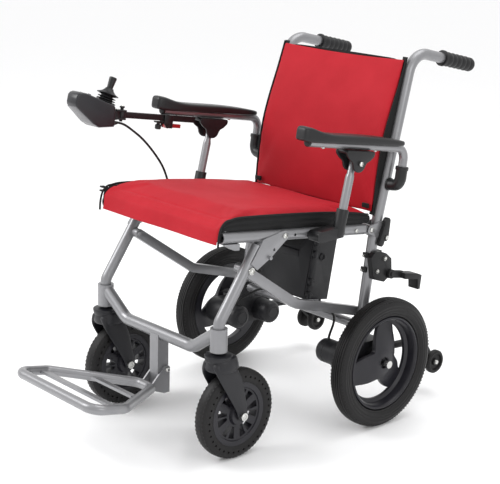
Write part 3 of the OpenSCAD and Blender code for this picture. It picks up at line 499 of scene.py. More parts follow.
for side, end in ((1, "left"), (-1, "right")):
    tyre_low, tyre_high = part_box("drive_tyre_" + end)
    hub = (tyre_low + tyre_high) / 2
    hub_x, radius = hub.x * 1000, tyre_high.z * 500
    wall = [(-14, 113.3), (-16.4, 115), (-17, 117.5), (-16.6, 119), (-19.6, 122), (-20.6, 124.5),
            (-21.8, 126.2), (-21, 128), (-21.4, 131), (-22.4, 132.8), (-21.6, 134.6), (-21.6, 138),
            (-22, 139.8), (-20.9, 141.2), (-19.6, 145), (-17.5, 148.5), (-14.5, 151.4), (-13.8, 150.2)]
    crown = []
    for rib in range(5):
        middle = -11 + rib * 5.5
        top = radius - 0.25 - 0.0105 * middle * middle
        crown += [(middle - 2.2, top - 2), (middle - 1.9, top), (middle + 1.9, top), (middle + 2.2, top - 2)]
    outline = wall + crown + [(-a, r) for a, r in reversed(wall)] + [wall[0]]
    tyre = [lathe("drive_tyre_body", hub, outline, 96)]
    tyre += [blocks_round("lug", hub + Vector((lug * 0.0167, 0, 0.1483)), (3.4, 2.8, 2.4), hub, 112)
             for lug in (1, -1)]
    dress(joined("drive_tyre_" + end[0], tyre), rubber, "drive_wheel_" + end, "tyre_rubber",
          "drive_tyre_" + end)

    rim_outline = [(-16, 100), (-16, 112.8), (13, 112.8), (16, 111), (17, 107), (14, 104.5), (9, 102.5),
                   (-6, 101), (-11, 94), (-9, 78), (-1, 60), (5, 42), (9, 32), (12, 26), (12.4, 15), (11, 13.2),
                   (5, 12.6), (4.6, 8.2), (-15, 8.2), (-15, 22), (-10, 30), (-5, 42), (-11, 60), (-17, 78),
                   (-17.5, 92), (-16, 100)]
    rim = lathe("drive_rim_body", hub, rim_outline, 96, (side, 0, 0))
    cutters = []
    for window in (15, 135, 255):
        opening = around(0, 155, 93, window - 46, window + 46, 18)
        for step in range(1, 14):
            share = 1 - step / 7
            opening += around(0, 155, 40 + 53 * abs(share) ** 1.7, window + 46 * share, window, 1)[:1]
        cutters.append(slab("window", opening, hub_x - 40, hub_x + 40))
    bevelled(cut(rim, cutters), 1.6, 2, 48)
    dress(rim, rim_plastic, "drive_wheel_" + end, "black_plastic", "drive_rim_" + end)
    bolt = button_bolt(hub + Vector((side * 0.0072, 0, 0)), 7, side)
    dress(bolt, black_steel, "drive_wheel_" + end, "zinc_steel")
    bolt.name = "drive_bolt_" + end[0]

# ---- Casters ----
# A moulded fork with a round flange under the head tube, a puncture-proof tyre with a row of
# small round holes in each wall and cross grooves on its crown, and a rim with paired slots.
fork_plastic = finish("fork_plastic", (0.008, 0.008, 0.0105), (0.017, 0.017, 0.02), 0.38, patch=18,
                      grain=1500, relief=0.00003, coat=0.05, gloss=0.35)


def sections(name, rings):
    """A lofted shell through rings of places, closed at both ends."""
    count = len(rings[0])
    last = (len(rings) - 1) * count
    verts = [p for ring in rings for p in ring]
    faces = [(a + i, a + (i + 1) % count, a + count + (i + 1) % count, a + count + i)
             for a in range(0, last, count) for i in range(count)]
    faces += [tuple(reversed(range(count))), tuple(range(last, last + count))]
    mesh = bpy.data.meshes.new(name)
    mesh.from_pydata(verts, [], faces)
    piece = bpy.data.objects.new(name, mesh)
    bpy.context.scene.collection.objects.link(piece)
    return edited(piece, outwards)


def rounded(piece, levels=2):
    """Applies a subdivision surface."""
    smooth = piece.modifiers.new("smooth", "SUBSURF")
    smooth.levels = smooth.render_levels = levels
    only(piece)
    bpy.ops.object.modifier_apply(modifier=smooth.name)
    bpy.ops.object.shade_smooth()
    return piece


for side, end in ((1, "left"), (-1, "right")):
    tyre_low, tyre_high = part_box("caster_tyre_" + end)
    hub = (tyre_low + tyre_high) / 2
    hub_x, hub_y, hub_z = hub.x * 1000, (hub.y - axle_y) * 1000, hub.z * 1000
    wall = [(-15.5, 73.4), (-17, 76), (-18.6, 82), (-18.6, 90), (-16.4, 96.5), (-12.5, 100.6)]
    outline = wall + [(-6, 102.4), (0, 102.9), (6, 102.4)] + [(-a, r) for a, r in reversed(wall)] + [wall[0]]
    tyre = lathe("caster_tyre_body", hub, outline, 84)
    holes = []
    for hole_side in (1, -1):
        bpy.ops.object.select_all(action="DESELECT")
        bpy.ops.mesh.primitive_cylinder_add(vertices=8, radius=0.0026, depth=0.006,
                                            location=hub + Vector((hole_side * 0.0186, 0, 0.0865)),
                                            rotation=(0, math.pi / 2, 0))
        drill = repeated(bpy.context.object, hub, 36)
        holes.append(edited(drill, (bpy.ops.mesh.remove_doubles, {"threshold": 0.00001}), outwards))
    shaded(cut(tyre, holes), 38)
    bars = [blocks_round("bar", hub + Vector((x * 0.001, 0, 0.1 + lift * 0.001)), size, hub, 64)
            for x, lift, size in ((0, 1.6, (11, 4.6, 2.4)), (10.2, 0.1, (5.5, 4.2, 2.4)),
                                  (-10.2, 0.1, (5.5, 4.2, 2.4)))]
    tyre = joined("caster_tyre_" + end[0], [tyre, *bars])
    dress(tyre, rubber, "caster_wheel_" + end, "tyre_rubber", "caster_tyre_" + end)

    rim_outline = [(-15, 62), (-15.5, 73), (15.5, 73), (15, 62), (12, 60.5), (10.5, 52), (10.5, 30), (12, 25),
                   (20, 22), (20.5, 17), (20.5, 6.2), (-20.5, 6.2), (-20.5, 17), (-20, 22), (-12, 25),
                   (-10.5, 30), (-10.5, 52), (-12, 60.5), (-15, 62)]
    rim = lathe("caster_rim_body", hub, rim_outline, 72)
    cutters = []
    for spoke in range(6):
        for lean in (-1, 1):
            angle = 60 * spoke + lean * 12.5
            outer = around(hub_y, hub_z, 57, angle - 8.5, angle + 8.5, 4)
            inner = around(hub_y, hub_z, 30, angle + 6.5 - lean * 4, angle - 6.5 - lean * 4, 2)
            cutters.append(slab("slot", outer + inner, hub_x - 30, hub_x + 30))
    bevelled(cut(rim, cutters), 1.1, 2, 45)
    dress(rim, rim_plastic, "caster_wheel_" + end, "black_plastic", "caster_rim_" + end)

    # The fork: two blades lofted down from a crown, a flange and a stem
    swivel_x, swivel_y = side * 205, -438.5
    blades = []
    for blade in (-1, 1):
        rings = []
        for z, front, back, out, inward in (
            (238, -26, 26, 26, 2), (226, -27, 29, 29, 6), (212, -25, 36, 32, 20), (196, -18, 44, 33, 25),
            (170, -2, 52, 33, 25.5), (140, 17, 58, 32.5, 25.5), (116, 32, 63, 31.5, 25), (100, 37, 62, 31, 25),
            (90, 43, 56, 30.5, 25),
        ):
            x0, x1 = swivel_x + blade * inward, swivel_x + blade * out
            y0, y1 = swivel_y + front, swivel_y + back
            ring = [(x0, y0 + 3), (x0, (y0 + y1) / 2), (x0, y1 - 3), ((x0 + x1) / 2, y1),
                    (x1 - blade * 2, y1 - 3), (x1, (y0 + y1) / 2), (x1 - blade * 2, y0 + 3),
                    ((x0 + x1) / 2, y0)]
            rings.append([spot(x, y, z) for x, y in ring])
        blades.append(rounded(sections("blade", rings), 2))
    flange = lathe("flange", spot(swivel_x, swivel_y, 0), [
        (232, 0), (232, 24), (238, 29), (243, 30), (246.5, 30.4), (248.6, 29.4), (249, 28), (249, 20),
        (251.5, 15), (252, 12.2), (255.6, 12.2), (255.6, 0)], 40, (0, 0, 1))
    crown = rounded(sections("crown", [[spot(swivel_x + x * s, swivel_y + 4 + y * s, z) for x, y in (
        (-34, -22), (0, -36), (34, -22), (38, 8), (28, 38), (0, 44), (-28, 38), (-38, 8))]
        for z, s in ((211, 0.9), (216, 1.0), (226, 0.99), (237, 0.93), (247, 0.84))]), 2)
    fork = joined("caster_fork_" + end[0], [*blades, flange, crown])
    dress(fork, fork_plastic, "caster_swivel_" + end, "black_paint", "caster_fork_" + end)
    bolted("caster_bolts_" + end[0], "caster_swivel_" + end,
           [button_bolt(spot(swivel_x + s * 31.2, hub_y, hub_z), 8.5, s) for s in (1, -1)])

# ---- Anti-tip wheels ----
# Small hard twin wheels on each rear arm, with a rounded tread and a recessed face.
for side, end in ((1, "left"), (-1, "right")):
    low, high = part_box("anti_tip_wheels_" + end)
    centre = (low + high) / 2
    outline = [(11.3, 12), (11.3, 24), (12.5, 27.5), (15, 29.6), (19.5, 29.9), (24, 29.6), (26.5, 27.5),
               (27.7, 24), (26.5, 21), (22.5, 19.5), (22.5, 10), (26, 9), (26, 5.2), (11.3, 5.2), (11.3, 12)]
    twins = [lathe("twin", centre, outline, 40, (twin, 0, 0)) for twin in (-1, 1)]
    dress(joined("tip_wheels_" + end[0], twins), rubber, "anti_tip_" + end, "tyre_rubber",
          "anti_tip_wheels_" + end)
    bolted("tip_bolts_" + end[0], "anti_tip_" + end,
           [button_bolt(centre + Vector((s * 0.0262, 0, 0)), 6, s) for s in (1, -1)])

# ---- Drive units ----
# Two motors a side stand inwards from a cast gear housing. Each motor ends in a moulded cap with
# a ring pressed into its face, and the housing is one cast shell around both.
cast = finish("motor_casting", (0.01, 0.01, 0.012), (0.024, 0.024, 0.025), 0.45, patch=22, amount=0.3,
              grain=700, relief=0.00006, coat=0.05, gloss=0.35)
can_shape = [(196, 0), (196, 29), (172, 29), (171, 28.2), (169, 28.2), (168, 29), (156, 29), (150, 27.5),
             (146, 24), (144.3, 19), (144, 17), (145, 16.4), (145, 14.6), (144, 14), (144, 0)]
cans = [lathe("can", spot(0, y, z), can_shape, 48, (side, 0, 0))
        for side in (1, -1) for y, z in ((-58, 162), (50, 154))]
dress(joined("motor_cans", cans), cast, "rear_frame", "motor_casting", "drive_motors")
dress(softened("gear_housings", "drive_housings", 2.5, 3), cast, "rear_frame", "motor_casting",
      "drive_housings")
lead_route = [spot(*p) for p in ((70, 2, 256.6), (73, 1, 248), (90, -2, 242), (116, -6, 238), (136, -14, 231),
                                 (150, -30, 219), (161, -50, 206), (164, -57, 198), (164, -58, 191.3))]
leads = [tube("lead", [Vector((side * p.x, p.y, p.z)) for p in flowing(lead_route, 60)], 0.003, 8)
         for side in (1, -1)]
dress(joined("motor_lead_pair", leads), cable_rubber, "rear_frame", "cable_rubber", "motor_leads")

# ---- Battery ----
# A moulded case hung at a slight lean in front of the rear tube. The pack slides in from the
# front and is held by a woven pull strap; hooks for the cover run down the case's left corner.
case_plastic = finish("case_plastic", (0.0085, 0.0085, 0.0105), (0.018, 0.018, 0.02), 0.42, patch=15,
                      grain=1000, relief=0.00005, gloss=0.3)
webbing = finish("webbing", (0.007, 0.007, 0.0075), (0.014, 0.014, 0.014), 0.8, patch=40, grain=1800,
                 relief=0.0001, sheen=0.05, gloss=0.25)
dress(softened("battery_shell", "battery_case", 2.2, 3), case_plastic, "rear_frame", "black_plastic",
      "battery_case")
dress(softened("battery_block", "battery_pack", 1.6), case_plastic, "battery", "black_plastic",
      "battery_pack")
fittings = []
for z, y in ((407, -32), (377.5, -37), (310.5, -48.5), (279, -54)):
    hook = slab("hook", [(y - 3.5, z - 9), (y + 6, z - 9), (y + 6, z + 9), (y - 3.5, z + 9), (y - 6.5, z + 3)],
                81.6, 90)
    fittings.append(bevelled(hook, 1.4))
fittings.append(lathe("charge_port", spot(82, -8, 366),
                      [(-1, 9), (1.4, 9), (2.2, 8), (2.2, 6.5), (0.4, 6), (0.4, 0)], 24))
dress(joined("battery_hooks", fittings), case_plastic, "rear_frame", "black_plastic")
half_strap = [(-60, -35.6, 408), (-52, -37.5, 404), (-20, -45, 394)]
strap = sections("pull_strap", [
    [spot(x, y + dy, z + dz) for dy, dz in ((0, -9), (-1.6, -9), (-1.6, 9), (0, 9))]
    for x, y, z in half_strap + [(0, -47, 391)] + [(-x, y, z) for x, y, z in reversed(half_strap)]])
dress(rounded(strap, 1), webbing, "battery", "black_fabric")

# ---- Footrest ----
# A bent tube loop with two cross bars that tips up on the foot of the front tube. The loop is the
# frame's own, and the two bolts of its hinge are added.
bolted("footrest_bolts", "footrest", [button_bolt(spot(side * 22, -430.5, 158), 6, side) for side in (1, -1)])

# ---- Seat ----
# A foam pad in red polyester cloth, with a front flap over the tube. Its sides are black spacer
# mesh with two moulded ridges, piped along the top edge, and it lies on a black sling.
# The cloth weave: a thread relief for the bump, and painted shade in the colour. The crease colour is mixed
# into the valleys between threads and into broad cloudy patches of painted wrinkle shade.
weave_group, weave_in, weave_out = shader_group(
    "cloth_weave",
    [("Colour", "Color", (0.5, 0.5, 0.5, 1)), ("Crease Colour", "Color", (0.2, 0.2, 0.2, 1)),
     ("Run", "Vector", (0, 1, 0)), ("Thread", "Float", 0.0011)], group_results)
where = weave_group.nodes.new("ShaderNodeTexCoord").outputs["Object"]
waves = []
for way in (weave_in.outputs["Run"], (1, 0, 0)):
    run = wired(weave_group, "ShaderNodeVectorMath", {"operation": "DOT_PRODUCT"}, i0=where, i1=way)
    pitch = maths(weave_group, "DIVIDE", run.outputs["Value"], weave_in.outputs["Thread"])
    waves.append(maths(weave_group, "SINE", maths(weave_group, "MULTIPLY", pitch, math.tau)))
lift = wired(weave_group, "ShaderNodeMapRange", {}, Value=maths(weave_group, "MULTIPLY", *waves),
             From_Min=-1.0, From_Max=1.0).outputs["Result"]
cloud = wired(weave_group, "ShaderNodeTexNoise", {}, Vector=where, Scale=7.0, Detail=5.0,
              Roughness=0.6).outputs["Fac"]
painted_wrinkle_shade = wired(weave_group, "ShaderNodeMapRange", {}, Value=cloud, From_Min=0.35, From_Max=0.75,
                    To_Min=0.0, To_Max=0.45).outputs["Result"]
# Painted shade: the share of the crease colour, from the cloudy patches and from the low thread valleys.
painted_shade_share = maths(weave_group, "ADD", painted_wrinkle_shade, maths(weave_group, "MULTIPLY_ADD", lift, -0.3, 0.3),
                    use_clamp=True)
tint = wired(weave_group, "ShaderNodeMix", {"data_type": "RGBA"}, i0=painted_shade_share,
             i6=weave_in.outputs["Colour"], i7=weave_in.outputs["Crease Colour"])
rough_cloth = maths(weave_group, "MULTIPLY_ADD", cloud, 0.2, 0.58)
for result, socket in ((tint.outputs[2], "Colour"), (rough_cloth, "Roughness"), (lift, "Height")):
    weave_group.links.new(result, weave_out.inputs[socket])


def woven(name, colour, crease, run, thread=0.0011, relief=0.00012, sheen=0.3, sheen_tint=(1, 1, 1)):
    """A cloth material from the weave group; crease is the colour of its painted shade."""
    look = {"Colour": (*colour, 1), "Crease_Colour": (*crease, 1), "Run": run, "Thread": thread}
    return grouped(name, weave_group, look, 0.8, relief, Sheen_Weight=sheen, Sheen_Roughness=0.4,
                   Specular_IOR_Level=0.25, Sheen_Tint=(*sheen_tint, 1))


def puffed(piece, voxel, pressure, cap, held):
    """Fills a closed cover: remeshed, swollen as cloth under pressure, then capped and smoothed."""
    only(piece)
    remesh = piece.modifiers.new("remesh", "REMESH")
    remesh.mode = "VOXEL"
    remesh.voxel_size = voxel / 1000
    bpy.ops.object.modifier_apply(modifier=remesh.name)
    rest = [v.co.copy() for v in piece.data.vertices]
    group = piece.vertex_groups.new(name="held")
    for vertex in piece.data.vertices:
        group.add([vertex.index], held(vertex.co), "REPLACE")
    cloth = piece.modifiers.new("cover", "CLOTH")
    cloth.settings.quality = 6
    cloth.settings.mass = 0.25
    cloth.settings.tension_stiffness = cloth.settings.compression_stiffness = 14
    cloth.settings.shear_stiffness = 6
    cloth.settings.bending_stiffness = 0.6
    cloth.settings.use_pressure = True
    cloth.settings.uniform_pressure_force = pressure
    cloth.settings.effector_weights.gravity = 0
    cloth.settings.vertex_group_mass = "held"
    cloth.point_cache.frame_start, cloth.point_cache.frame_end = 1, 20
    for frame_number in range(1, 21):
        bpy.context.scene.frame_set(frame_number)
    swollen = piece.evaluated_get(bpy.context.evaluated_depsgraph_get()).data
    moved = [v.co.copy() for v in swollen.vertices]
    piece.modifiers.remove(cloth)
    for vertex, before, after in zip(piece.data.vertices, rest, moved):
        move = after - before
        if move.length > cap / 1000:
            move *= cap / 1000 / move.length
        vertex.co = before + move
    bpy.context.scene.frame_set(1)
    smooth = piece.modifiers.new("smooth", "CORRECTIVE_SMOOTH")
    smooth.factor, smooth.iterations, smooth.use_only_smooth = 0.5, 6, True
    only(piece)
    bpy.ops.object.modifier_apply(modifier=smooth.name)
    return rounded(piece, 1)


def ramp(value, low, high):
    """0 below low, 1 above high, smooth between."""
    t = min(1, max(0, (value - low) / (high - low)))
    return t * t * (3 - 2 * t)


seat_slope = math.radians(6)
hinge_y, hinge_z = 10, 459


def seat_place(x, u, t):
    """A place on the seat: u forwards along the rail from its hinge, t up from the rail."""
    return spot(x, hinge_y - u * math.cos(seat_slope) + t * math.sin(seat_slope),
                hinge_z + u * math.sin(seat_slope) + t * math.cos(seat_slope))


def stepped(value, stations, ease):
    """The measure at a value, between the stations on either side of it."""
    for (v0, m0), (v1, m1) in zip(stations, stations[1:]):
        if value <= v1:
            return m0 + (m1 - m0) * ease(value, v0, v1)
    return stations[-1][1]


def seat_top(u):
    """The height of the pad's top edge over the rail."""
    return stepped(u, ((0, 41), (60, 47), (150, 51), (300, 52), (400, 50), (440, 45), (461, 34)), ramp)


# Each cloth's second colour is its painted shade, darker than the cloth itself.
red_cloth = woven("red_cloth", (0.43, 0.004, 0.014), (0.26, 0.001, 0.006), (0, 0.75, 0.75),
                  sheen_tint=(1, 0.2, 0.28), sheen=0.04)
black_mesh = woven("black_mesh", (0.006, 0.006, 0.0065), (0.002, 0.002, 0.002), (0, 0.6, 0.8),
                   thread=0.0024, relief=0.0003, sheen=0.05)
black_cloth = woven("black_cloth", (0.007, 0.007, 0.0075), (0.003, 0.003, 0.003), (0, 0.75, 0.66),
                    thread=0.0013, sheen=0.04)

pad_side = [(-6, 18), (-6, 38), *((u, seat_top(u) - 3.5) for u in (60, 120, 200, 300, 380, 425)),
            (444, 39), (454, 31), (459, 20), (461, 4), (461.5, -20), (456.5, -20), (456, 4), (452, 18)]
pad = sections("seat_pad", [[seat_place(x, u, t) for u, t in pad_side] for x in (-209, 209)])
up = Vector((0, math.sin(seat_slope), math.cos(seat_slope)))
rearwards = Vector((0, math.cos(seat_slope), -math.sin(seat_slope)))


def held_down(p):
    """The pad's underside is glued down, and its flap is partly held."""
    if (p - seat_place(0, 200, 18)).dot(up) < 0.002:
        return 1.0
    return 0.6 if p.y < seat_place(0, 455, 20).y and p.z < seat_place(0, 455, 24).z else 0.0


puffed(pad, 5, 3.2, 8, held_down)
for vertex in pad.data.vertices:
    local = vertex.co - seat_place(0, 0, 0)
    u = -local.dot(rearwards) * 1000
    t = local.dot(up) * 1000
    if t > 30:
        crease = math.exp(-((u - 428) / 4.0) ** 2) * 2.2
        wave = 0.8 * math.sin(vertex.co.x * 31 + u * 0.011) * ramp(t, 34, 46)
        sink = 3.5 * ramp(u, 60, 180) * ramp(420 - u, 0, 120) * (1 - (abs(vertex.co.x) / 0.21) ** 2)
        vertex.co -= up * (crease + wave + sink) / 1000
    elif u > 452:
        vertex.co.y += 0.0012 * math.sin(vertex.co.x * 27 + 0.6) * ramp(30 - t, 0, 25)
dress(pad, red_cloth, "seat_frame", "red_fabric", "seat_cushion")

ridge = [(0, 0), (1.6, 0.03), (2.0, 0.12), (3.6, 0.2), (4.2, 0.28), (3.6, 0.37), (1.9, 0.44),
         (1.7, 0.52), (3.4, 0.6), (4.0, 0.68), (3.4, 0.77), (1.9, 0.84), (1.6, 0.97), (0, 1),
         (-2.5, 0.9), (-2.5, 0.1)]
bands, pipes, tabs = [], [], []
for side in (1, -1):
    rings = []
    for step in range(31):
        u = -2 + 450 * step / 30
        low, high = 14.5, seat_top(u) - 7
        rings.append([seat_place(side * (208 + out), u, low + (high - low) * share) for out, share in ridge])
    for u, lean in ((454, 0.5), (458, 1.2)):
        rings.append([seat_place(side * (208 + out * 0.7), u - 2 * lean,
                                 12 - 6 * lean + 22 * share * (1 - 0.2 * lean)) for out, share in ridge])
    bands.append(rounded(sections("band", rings), 1))
    edge = [seat_place(side * 210.5, u, seat_top(u) - 6.2) for u in (8, 60, 150, 250, 350, 410, 432)]
    edge += [seat_place(side * 210.5, u, t)
             for u, t in ((445, 36.5), (454, 29), (459.5, 18), (462, 0), (461.5, -19))]
    pipes.append(tube("pipe", flowing(edge, 70), 0.0024, 8))
dress(joined("seat_side_bands", bands), black_mesh, "seat_frame", "black_fabric")
dress(joined("seat_piping", pipes), black_cloth, "seat_frame", "black_fabric")
for t in (33, 24):
    tab = [[seat_place(x, u, t + dt) for u, dt in ((446, -2), (458, -2), (458, 2), (446, 2))]
           for x in (-212, -224)]
    tabs.append(bevelled(sections("tab", tab), 1))
dress(joined("corner_tabs", tabs), webbing, "seat_frame", "black_fabric")

# The sling hooks over both rails, and a pouch of the same cloth hangs under its rear end
sling = sections("seat_sling_cloth", [
    [seat_place(x, u, 13.2 if abs(x) > 190 else 12.6) for x in range(-208, 209, 26)]
    + [seat_place(x, u, 15.2) for x in range(208, -209, -26)] for u in range(20, 450, 22)])
dress(sling, black_cloth, "seat_frame", "black_fabric", "seat_sling")

pouch_rings = []
for step in range(13):
    u = 24 + 5 * step
    drop = 1 - ((step - 6) / 6) ** 2
    row = [seat_place(x, u, -13.4 - (7 + 3 * drop) * (1 - (x / 190) ** 2) * (0.4 + 0.6 * drop))
           for x in range(-188, 189, 16)]
    pouch_rings.append(row + [p - up * 0.0012 for p in reversed(row)])
pouch = rounded(sections("seat_pouch", pouch_rings), 1)
dress(pouch, black_cloth, "seat_frame", "black_fabric")

# ---- Backrest ----
# A red pad, thickest at the small of the back and thin at the top, screwed with its black sling to
# the front of the canes. Its sides are black cloth, piped along the front edge.
cane_lean = math.tan(math.radians(13.7))


def pad_front(z):
    """How far back the pad's face is at a height."""
    stations = ((500, 23), (560, 27.5), (613, 34), (655, 42), (690, 52), (725, 64), (760, 78), (800, 93),
                (853, 111))
    return stepped(z, stations, lambda v, low, high: (v - low) / (high - low))


def pad_rear(z):
    """The line in front of the canes that the sling lies on."""
    return 33 + (z - 432) * cane_lean - 15.5


levels = [489, 502, 535, 575, 610, 645, 680, 715, 750, 785, 820, 849]
outline = [(pad_front(z) + 3.5, z) for z in levels] + [(pad_rear(z) - 1.5, z) for z in reversed(levels)]
back_pad = sections("back_pad", [[spot(x, y, z) for y, z in outline] for x in (-201.5, 201.5)])
puffed(back_pad, 5, 3.0, 7,
       lambda p: 1.0 if p.y - axle_y > pad_rear(p.z * 1000) / 1000 - 0.006 else 0.0)
for vertex in back_pad.data.vertices:
    across_share = 1 - (abs(vertex.co.x) / 0.206) ** 2
    high = ramp(vertex.co.z, 0.62, 0.85)
    vertex.co.y += 0.007 * across_share * high
    vertex.co.z -= 0.006 * across_share * ramp(vertex.co.z, 0.8, 0.85)
dress(back_pad, red_cloth, "rear_frame", "red_fabric", "backrest_cushion")

side_bands, side_pipes, side_tabs = [], [], []
for side in (1, -1):
    rings = []
    for step in range(19):
        z = 488 + 362 * step / 18
        front, rear = pad_front(z) + 8.5, pad_rear(z) + 2.5
        rings.append([spot(side * x, y, z) for x, y in (
            (200, front + 1), (203.4, front), (205, front + 3), (205.4, (front + rear) / 2), (205, rear - 1),
            (203, rear), (190, rear), (190, rear - 1.6), (200, rear - 2.2))])
    side_bands.append(shaded(sections("band", rings), 50))
    line = [spot(side * 203.8, pad_front(z) + 8, z)
            for z in (488, 540, 580, 620, 660, 700, 740, 780, 820, 849)]
    side_pipes.append(tube("pipe", flowing(line, 60), 0.002, 8))
    tab = [[spot(side * x, y, z) for x, y in ((176, 20), (196, 20), (196, 24.5), (176, 24.5))]
           for z in (504, 515)]
    side_tabs.append(bevelled(sections("tab", tab), 0.8))
dress(joined("back_side_bands", side_bands), black_mesh, "rear_frame", "black_fabric")
dress(joined("back_piping", side_pipes), black_cloth, "rear_frame", "black_fabric")
dress(joined("back_tabs", side_tabs), webbing, "rear_frame", "black_fabric")

back_rows = []
for step in range(20):
    z = 490 + 359 * step / 19
    row = [spot(x, pad_rear(z) + 0.6 + 7 * (1 - (x / 203) ** 2) * ramp(z, 620, 850),
                z - 7 * (1 - (x / 203) ** 2) * ramp(z, 800, 850)) for x in range(-203, 204, 29)]
    back_rows.append(row + [p + Vector((0, 0.0018, 0)) for p in reversed(row)])
back_sling = rounded(sections("back_sling_cloth", back_rows), 1)
dress(back_sling, black_cloth, "rear_frame", "black_fabric", "backrest_sling")

# ---- Armrests ----
# Moulded polyurethane pads with a raised nose, screwed from below to the bent silver tubes. The
# tubes end in black plugs, and each rides in a knuckle and a rear elbow of black nylon.
arm_slope = math.radians(8.5)
arm_x = 250


def arm_yz(u, t):
    """A place on an armrest as (y, z): u backwards from the tube's front end, t up from its middle."""
    return (-236 + u * math.cos(arm_slope) + t * math.sin(arm_slope),
            696 + t * math.cos(arm_slope) - u * math.sin(arm_slope))


def arm_slab(name, outline, x0, x1):
    """A plate from x0 to x1 whose outline is given along the armrest."""
    return slab(name, [arm_yz(u, t) for u, t in outline], x0, x1)


skin = finish("moulded_skin", (0.0075, 0.0075, 0.0085), (0.015, 0.015, 0.016), 0.36, patch=14,
              grain=650, relief=0.00012, coat=0.05, gloss=0.35)
pads = []
for side in (1, -1):
    rings = []
    for u, low, high, half, edge in (
        (-28, 9, 26, 10, 4), (-27, 4, 31, 14, 6), (-22, 2, 34, 17, 7), (-10, 1, 33.6, 20, 7),
        (8, 1, 28.5, 22.6, 7), (30, 1.2, 24.2, 24.8, 7), (60, 2, 21.8, 25.8, 7), (110, 2.6, 22.6, 25.8, 7),
        (170, 3.6, 23.6, 25.8, 7), (230, 4.6, 22.6, 25.6, 7), (268, 5.4, 20, 24.6, 6), (285, 6, 18.6, 23, 6),
        (291, 7, 17, 20, 4), (292, 9, 15, 15, 3),
    ):
        corners = []
        for x, t, turn_from in ((half, high, 0), (-half, high, 90), (-half, low, 180), (half, low, 270)):
            cx, ct = x - math.copysign(edge, x), t - edge if t == high else t + min(edge, 4)
            radius_t = edge if t == high else min(edge, 4)
            for angle in (turn_from, turn_from + 30, turn_from + 60, turn_from + 90):
                a = math.radians(angle)
                corners.append(spot(side * arm_x + cx + edge * math.cos(a),
                                    *arm_yz(u, ct + radius_t * math.sin(a))))
        rings.append(corners)
    pads.append(rounded(sections("arm_pad", rings), 1))
arm_pads = dress(joined("arm_pads", pads), skin, "armrests", "pad_foam", "armrest_pads")
plug_shape = [(-2, 0), (-2, 8.6), (1.5, 9.9), (4, 9.9), (5.5, 8.5), (6, 6), (6, 0)]
plugs = [lathe("plug", spot(side * arm_x, *arm_yz(0, 0)), plug_shape, 28,
               (0, -math.cos(arm_slope), math.sin(arm_slope))) for side in (1, -1)]
dress(joined("tube_plugs", plugs), black_steel, "armrests", "black_plastic")
down = (0, -math.sin(arm_slope), -math.cos(arm_slope))
bolted("pad_screws", "armrests", [button_bolt(spot(side * arm_x, *arm_yz(u, -9.4)), 4.6, 1, down)
                                  for side in (1, -1) for u in (46, 214)])
nylon = finish("black_nylon", (0.008, 0.008, 0.009), (0.016, 0.016, 0.017), 0.36, patch=18, grain=900,
               relief=0.00006, coat=0.05, gloss=0.35)
cheek = [(109, -10.6), (106, -15), (108, -22), (118, -31), (129, -37), *around(152, -39, 20, 190, 350, 10),
         (175, -37), (186, -31), (196, -22), (198, -15), (195, -10.6)]
saddle = [(110, -10.4), (108, -15), (110, -19), (194, -19), (196, -15), (194, -10.4)]
fitting_parts = []
for side in (1, -1):
    middle = side * arm_x
    bend = [spot(side * x, y, z) for x, y, z in (
        (218.2, 64.4, 561), (230, 64.4, 561), (243, 64.9, 564.5), (249.4, 66.4, 575.5), (250, 68, 587),
        (250, 70.7, 606.6))]
    lip = [(38, 10.4), (38, 14.6), (39, 15.2), (45.4, 15.2), (46.6, 14), (46.6, 10.4), (38, 10.4)]
    flange = [(-0.3, 0), (-0.3, 15), (1.6, 15.4), (3.4, 14.8), (4, 13), (4, 0)]
    fitting_parts += [
        *(bevelled(arm_slab("cheek", cheek, x, x + 5.5), 1.8, 3) for x in (middle - 18.5, middle + 13)),
        bevelled(arm_slab("saddle", saddle, middle - 18, middle + 18), 1.2),
        tube("elbow", flowing(bend, 22), 0.0135, 16),
        lathe("elbow_lip", spot(middle, 64.4, 561), lip, 28, (0, 0.136, 0.991)),
        lathe("elbow_flange", bend[0], flange, 28, (side, 0, 0))]
clamp_cheek = [(-2, -10.5), (24, -10.5), (24, -41.5), (6, -41.5), (-2, -29.5)]
clamp_bridge = [(-2, -24.8), (24, -24.8), (24, -27.3), (-2, -27.3)]
pin_shape = [(-11.5, 0), (-11.5, 4.5), (-10, 5), (-10, 3), (10, 3), (10, 5), (11.5, 4.5), (11.5, 0)]
fitting_parts += [
    *(bevelled(arm_slab("clamp_cheek", clamp_cheek, x, x + 4), 1) for x in (-256.3, -239.7)),
    arm_slab("clamp_bridge", clamp_bridge, -256, -236),
    lathe("clamp_pin", spot(-246, *arm_yz(12, -35.5)), pin_shape, 20)]
dress(joined("arm_fittings", fitting_parts), nylon, "armrests", "black_plastic", "armrest_fittings")
dress(softened("strut_sockets", "strut_elbows", 1.6, 3), nylon, "arm_struts", "black_plastic", "strut_elbows")
rod_shape = [(14, 0), (14, 9.9), (124, 9.9), (129, 9.2), (132, 8), (164, 8), (166, 6.5), (166, 0)]
rods = [lathe("rod", spot(side * 246, -128, 481), rod_shape, 28, (0, 0.2307, 0.973)) for side in (1, -1)]
dress(joined("strut_rods", rods), silver, "arm_struts", "silver_paint", "strut_tubes")
bolted("strut_bolts", "arm_struts", [button_bolt(spot(side * 255, -126, 481), 5.5, side) for side in (1, -1)])

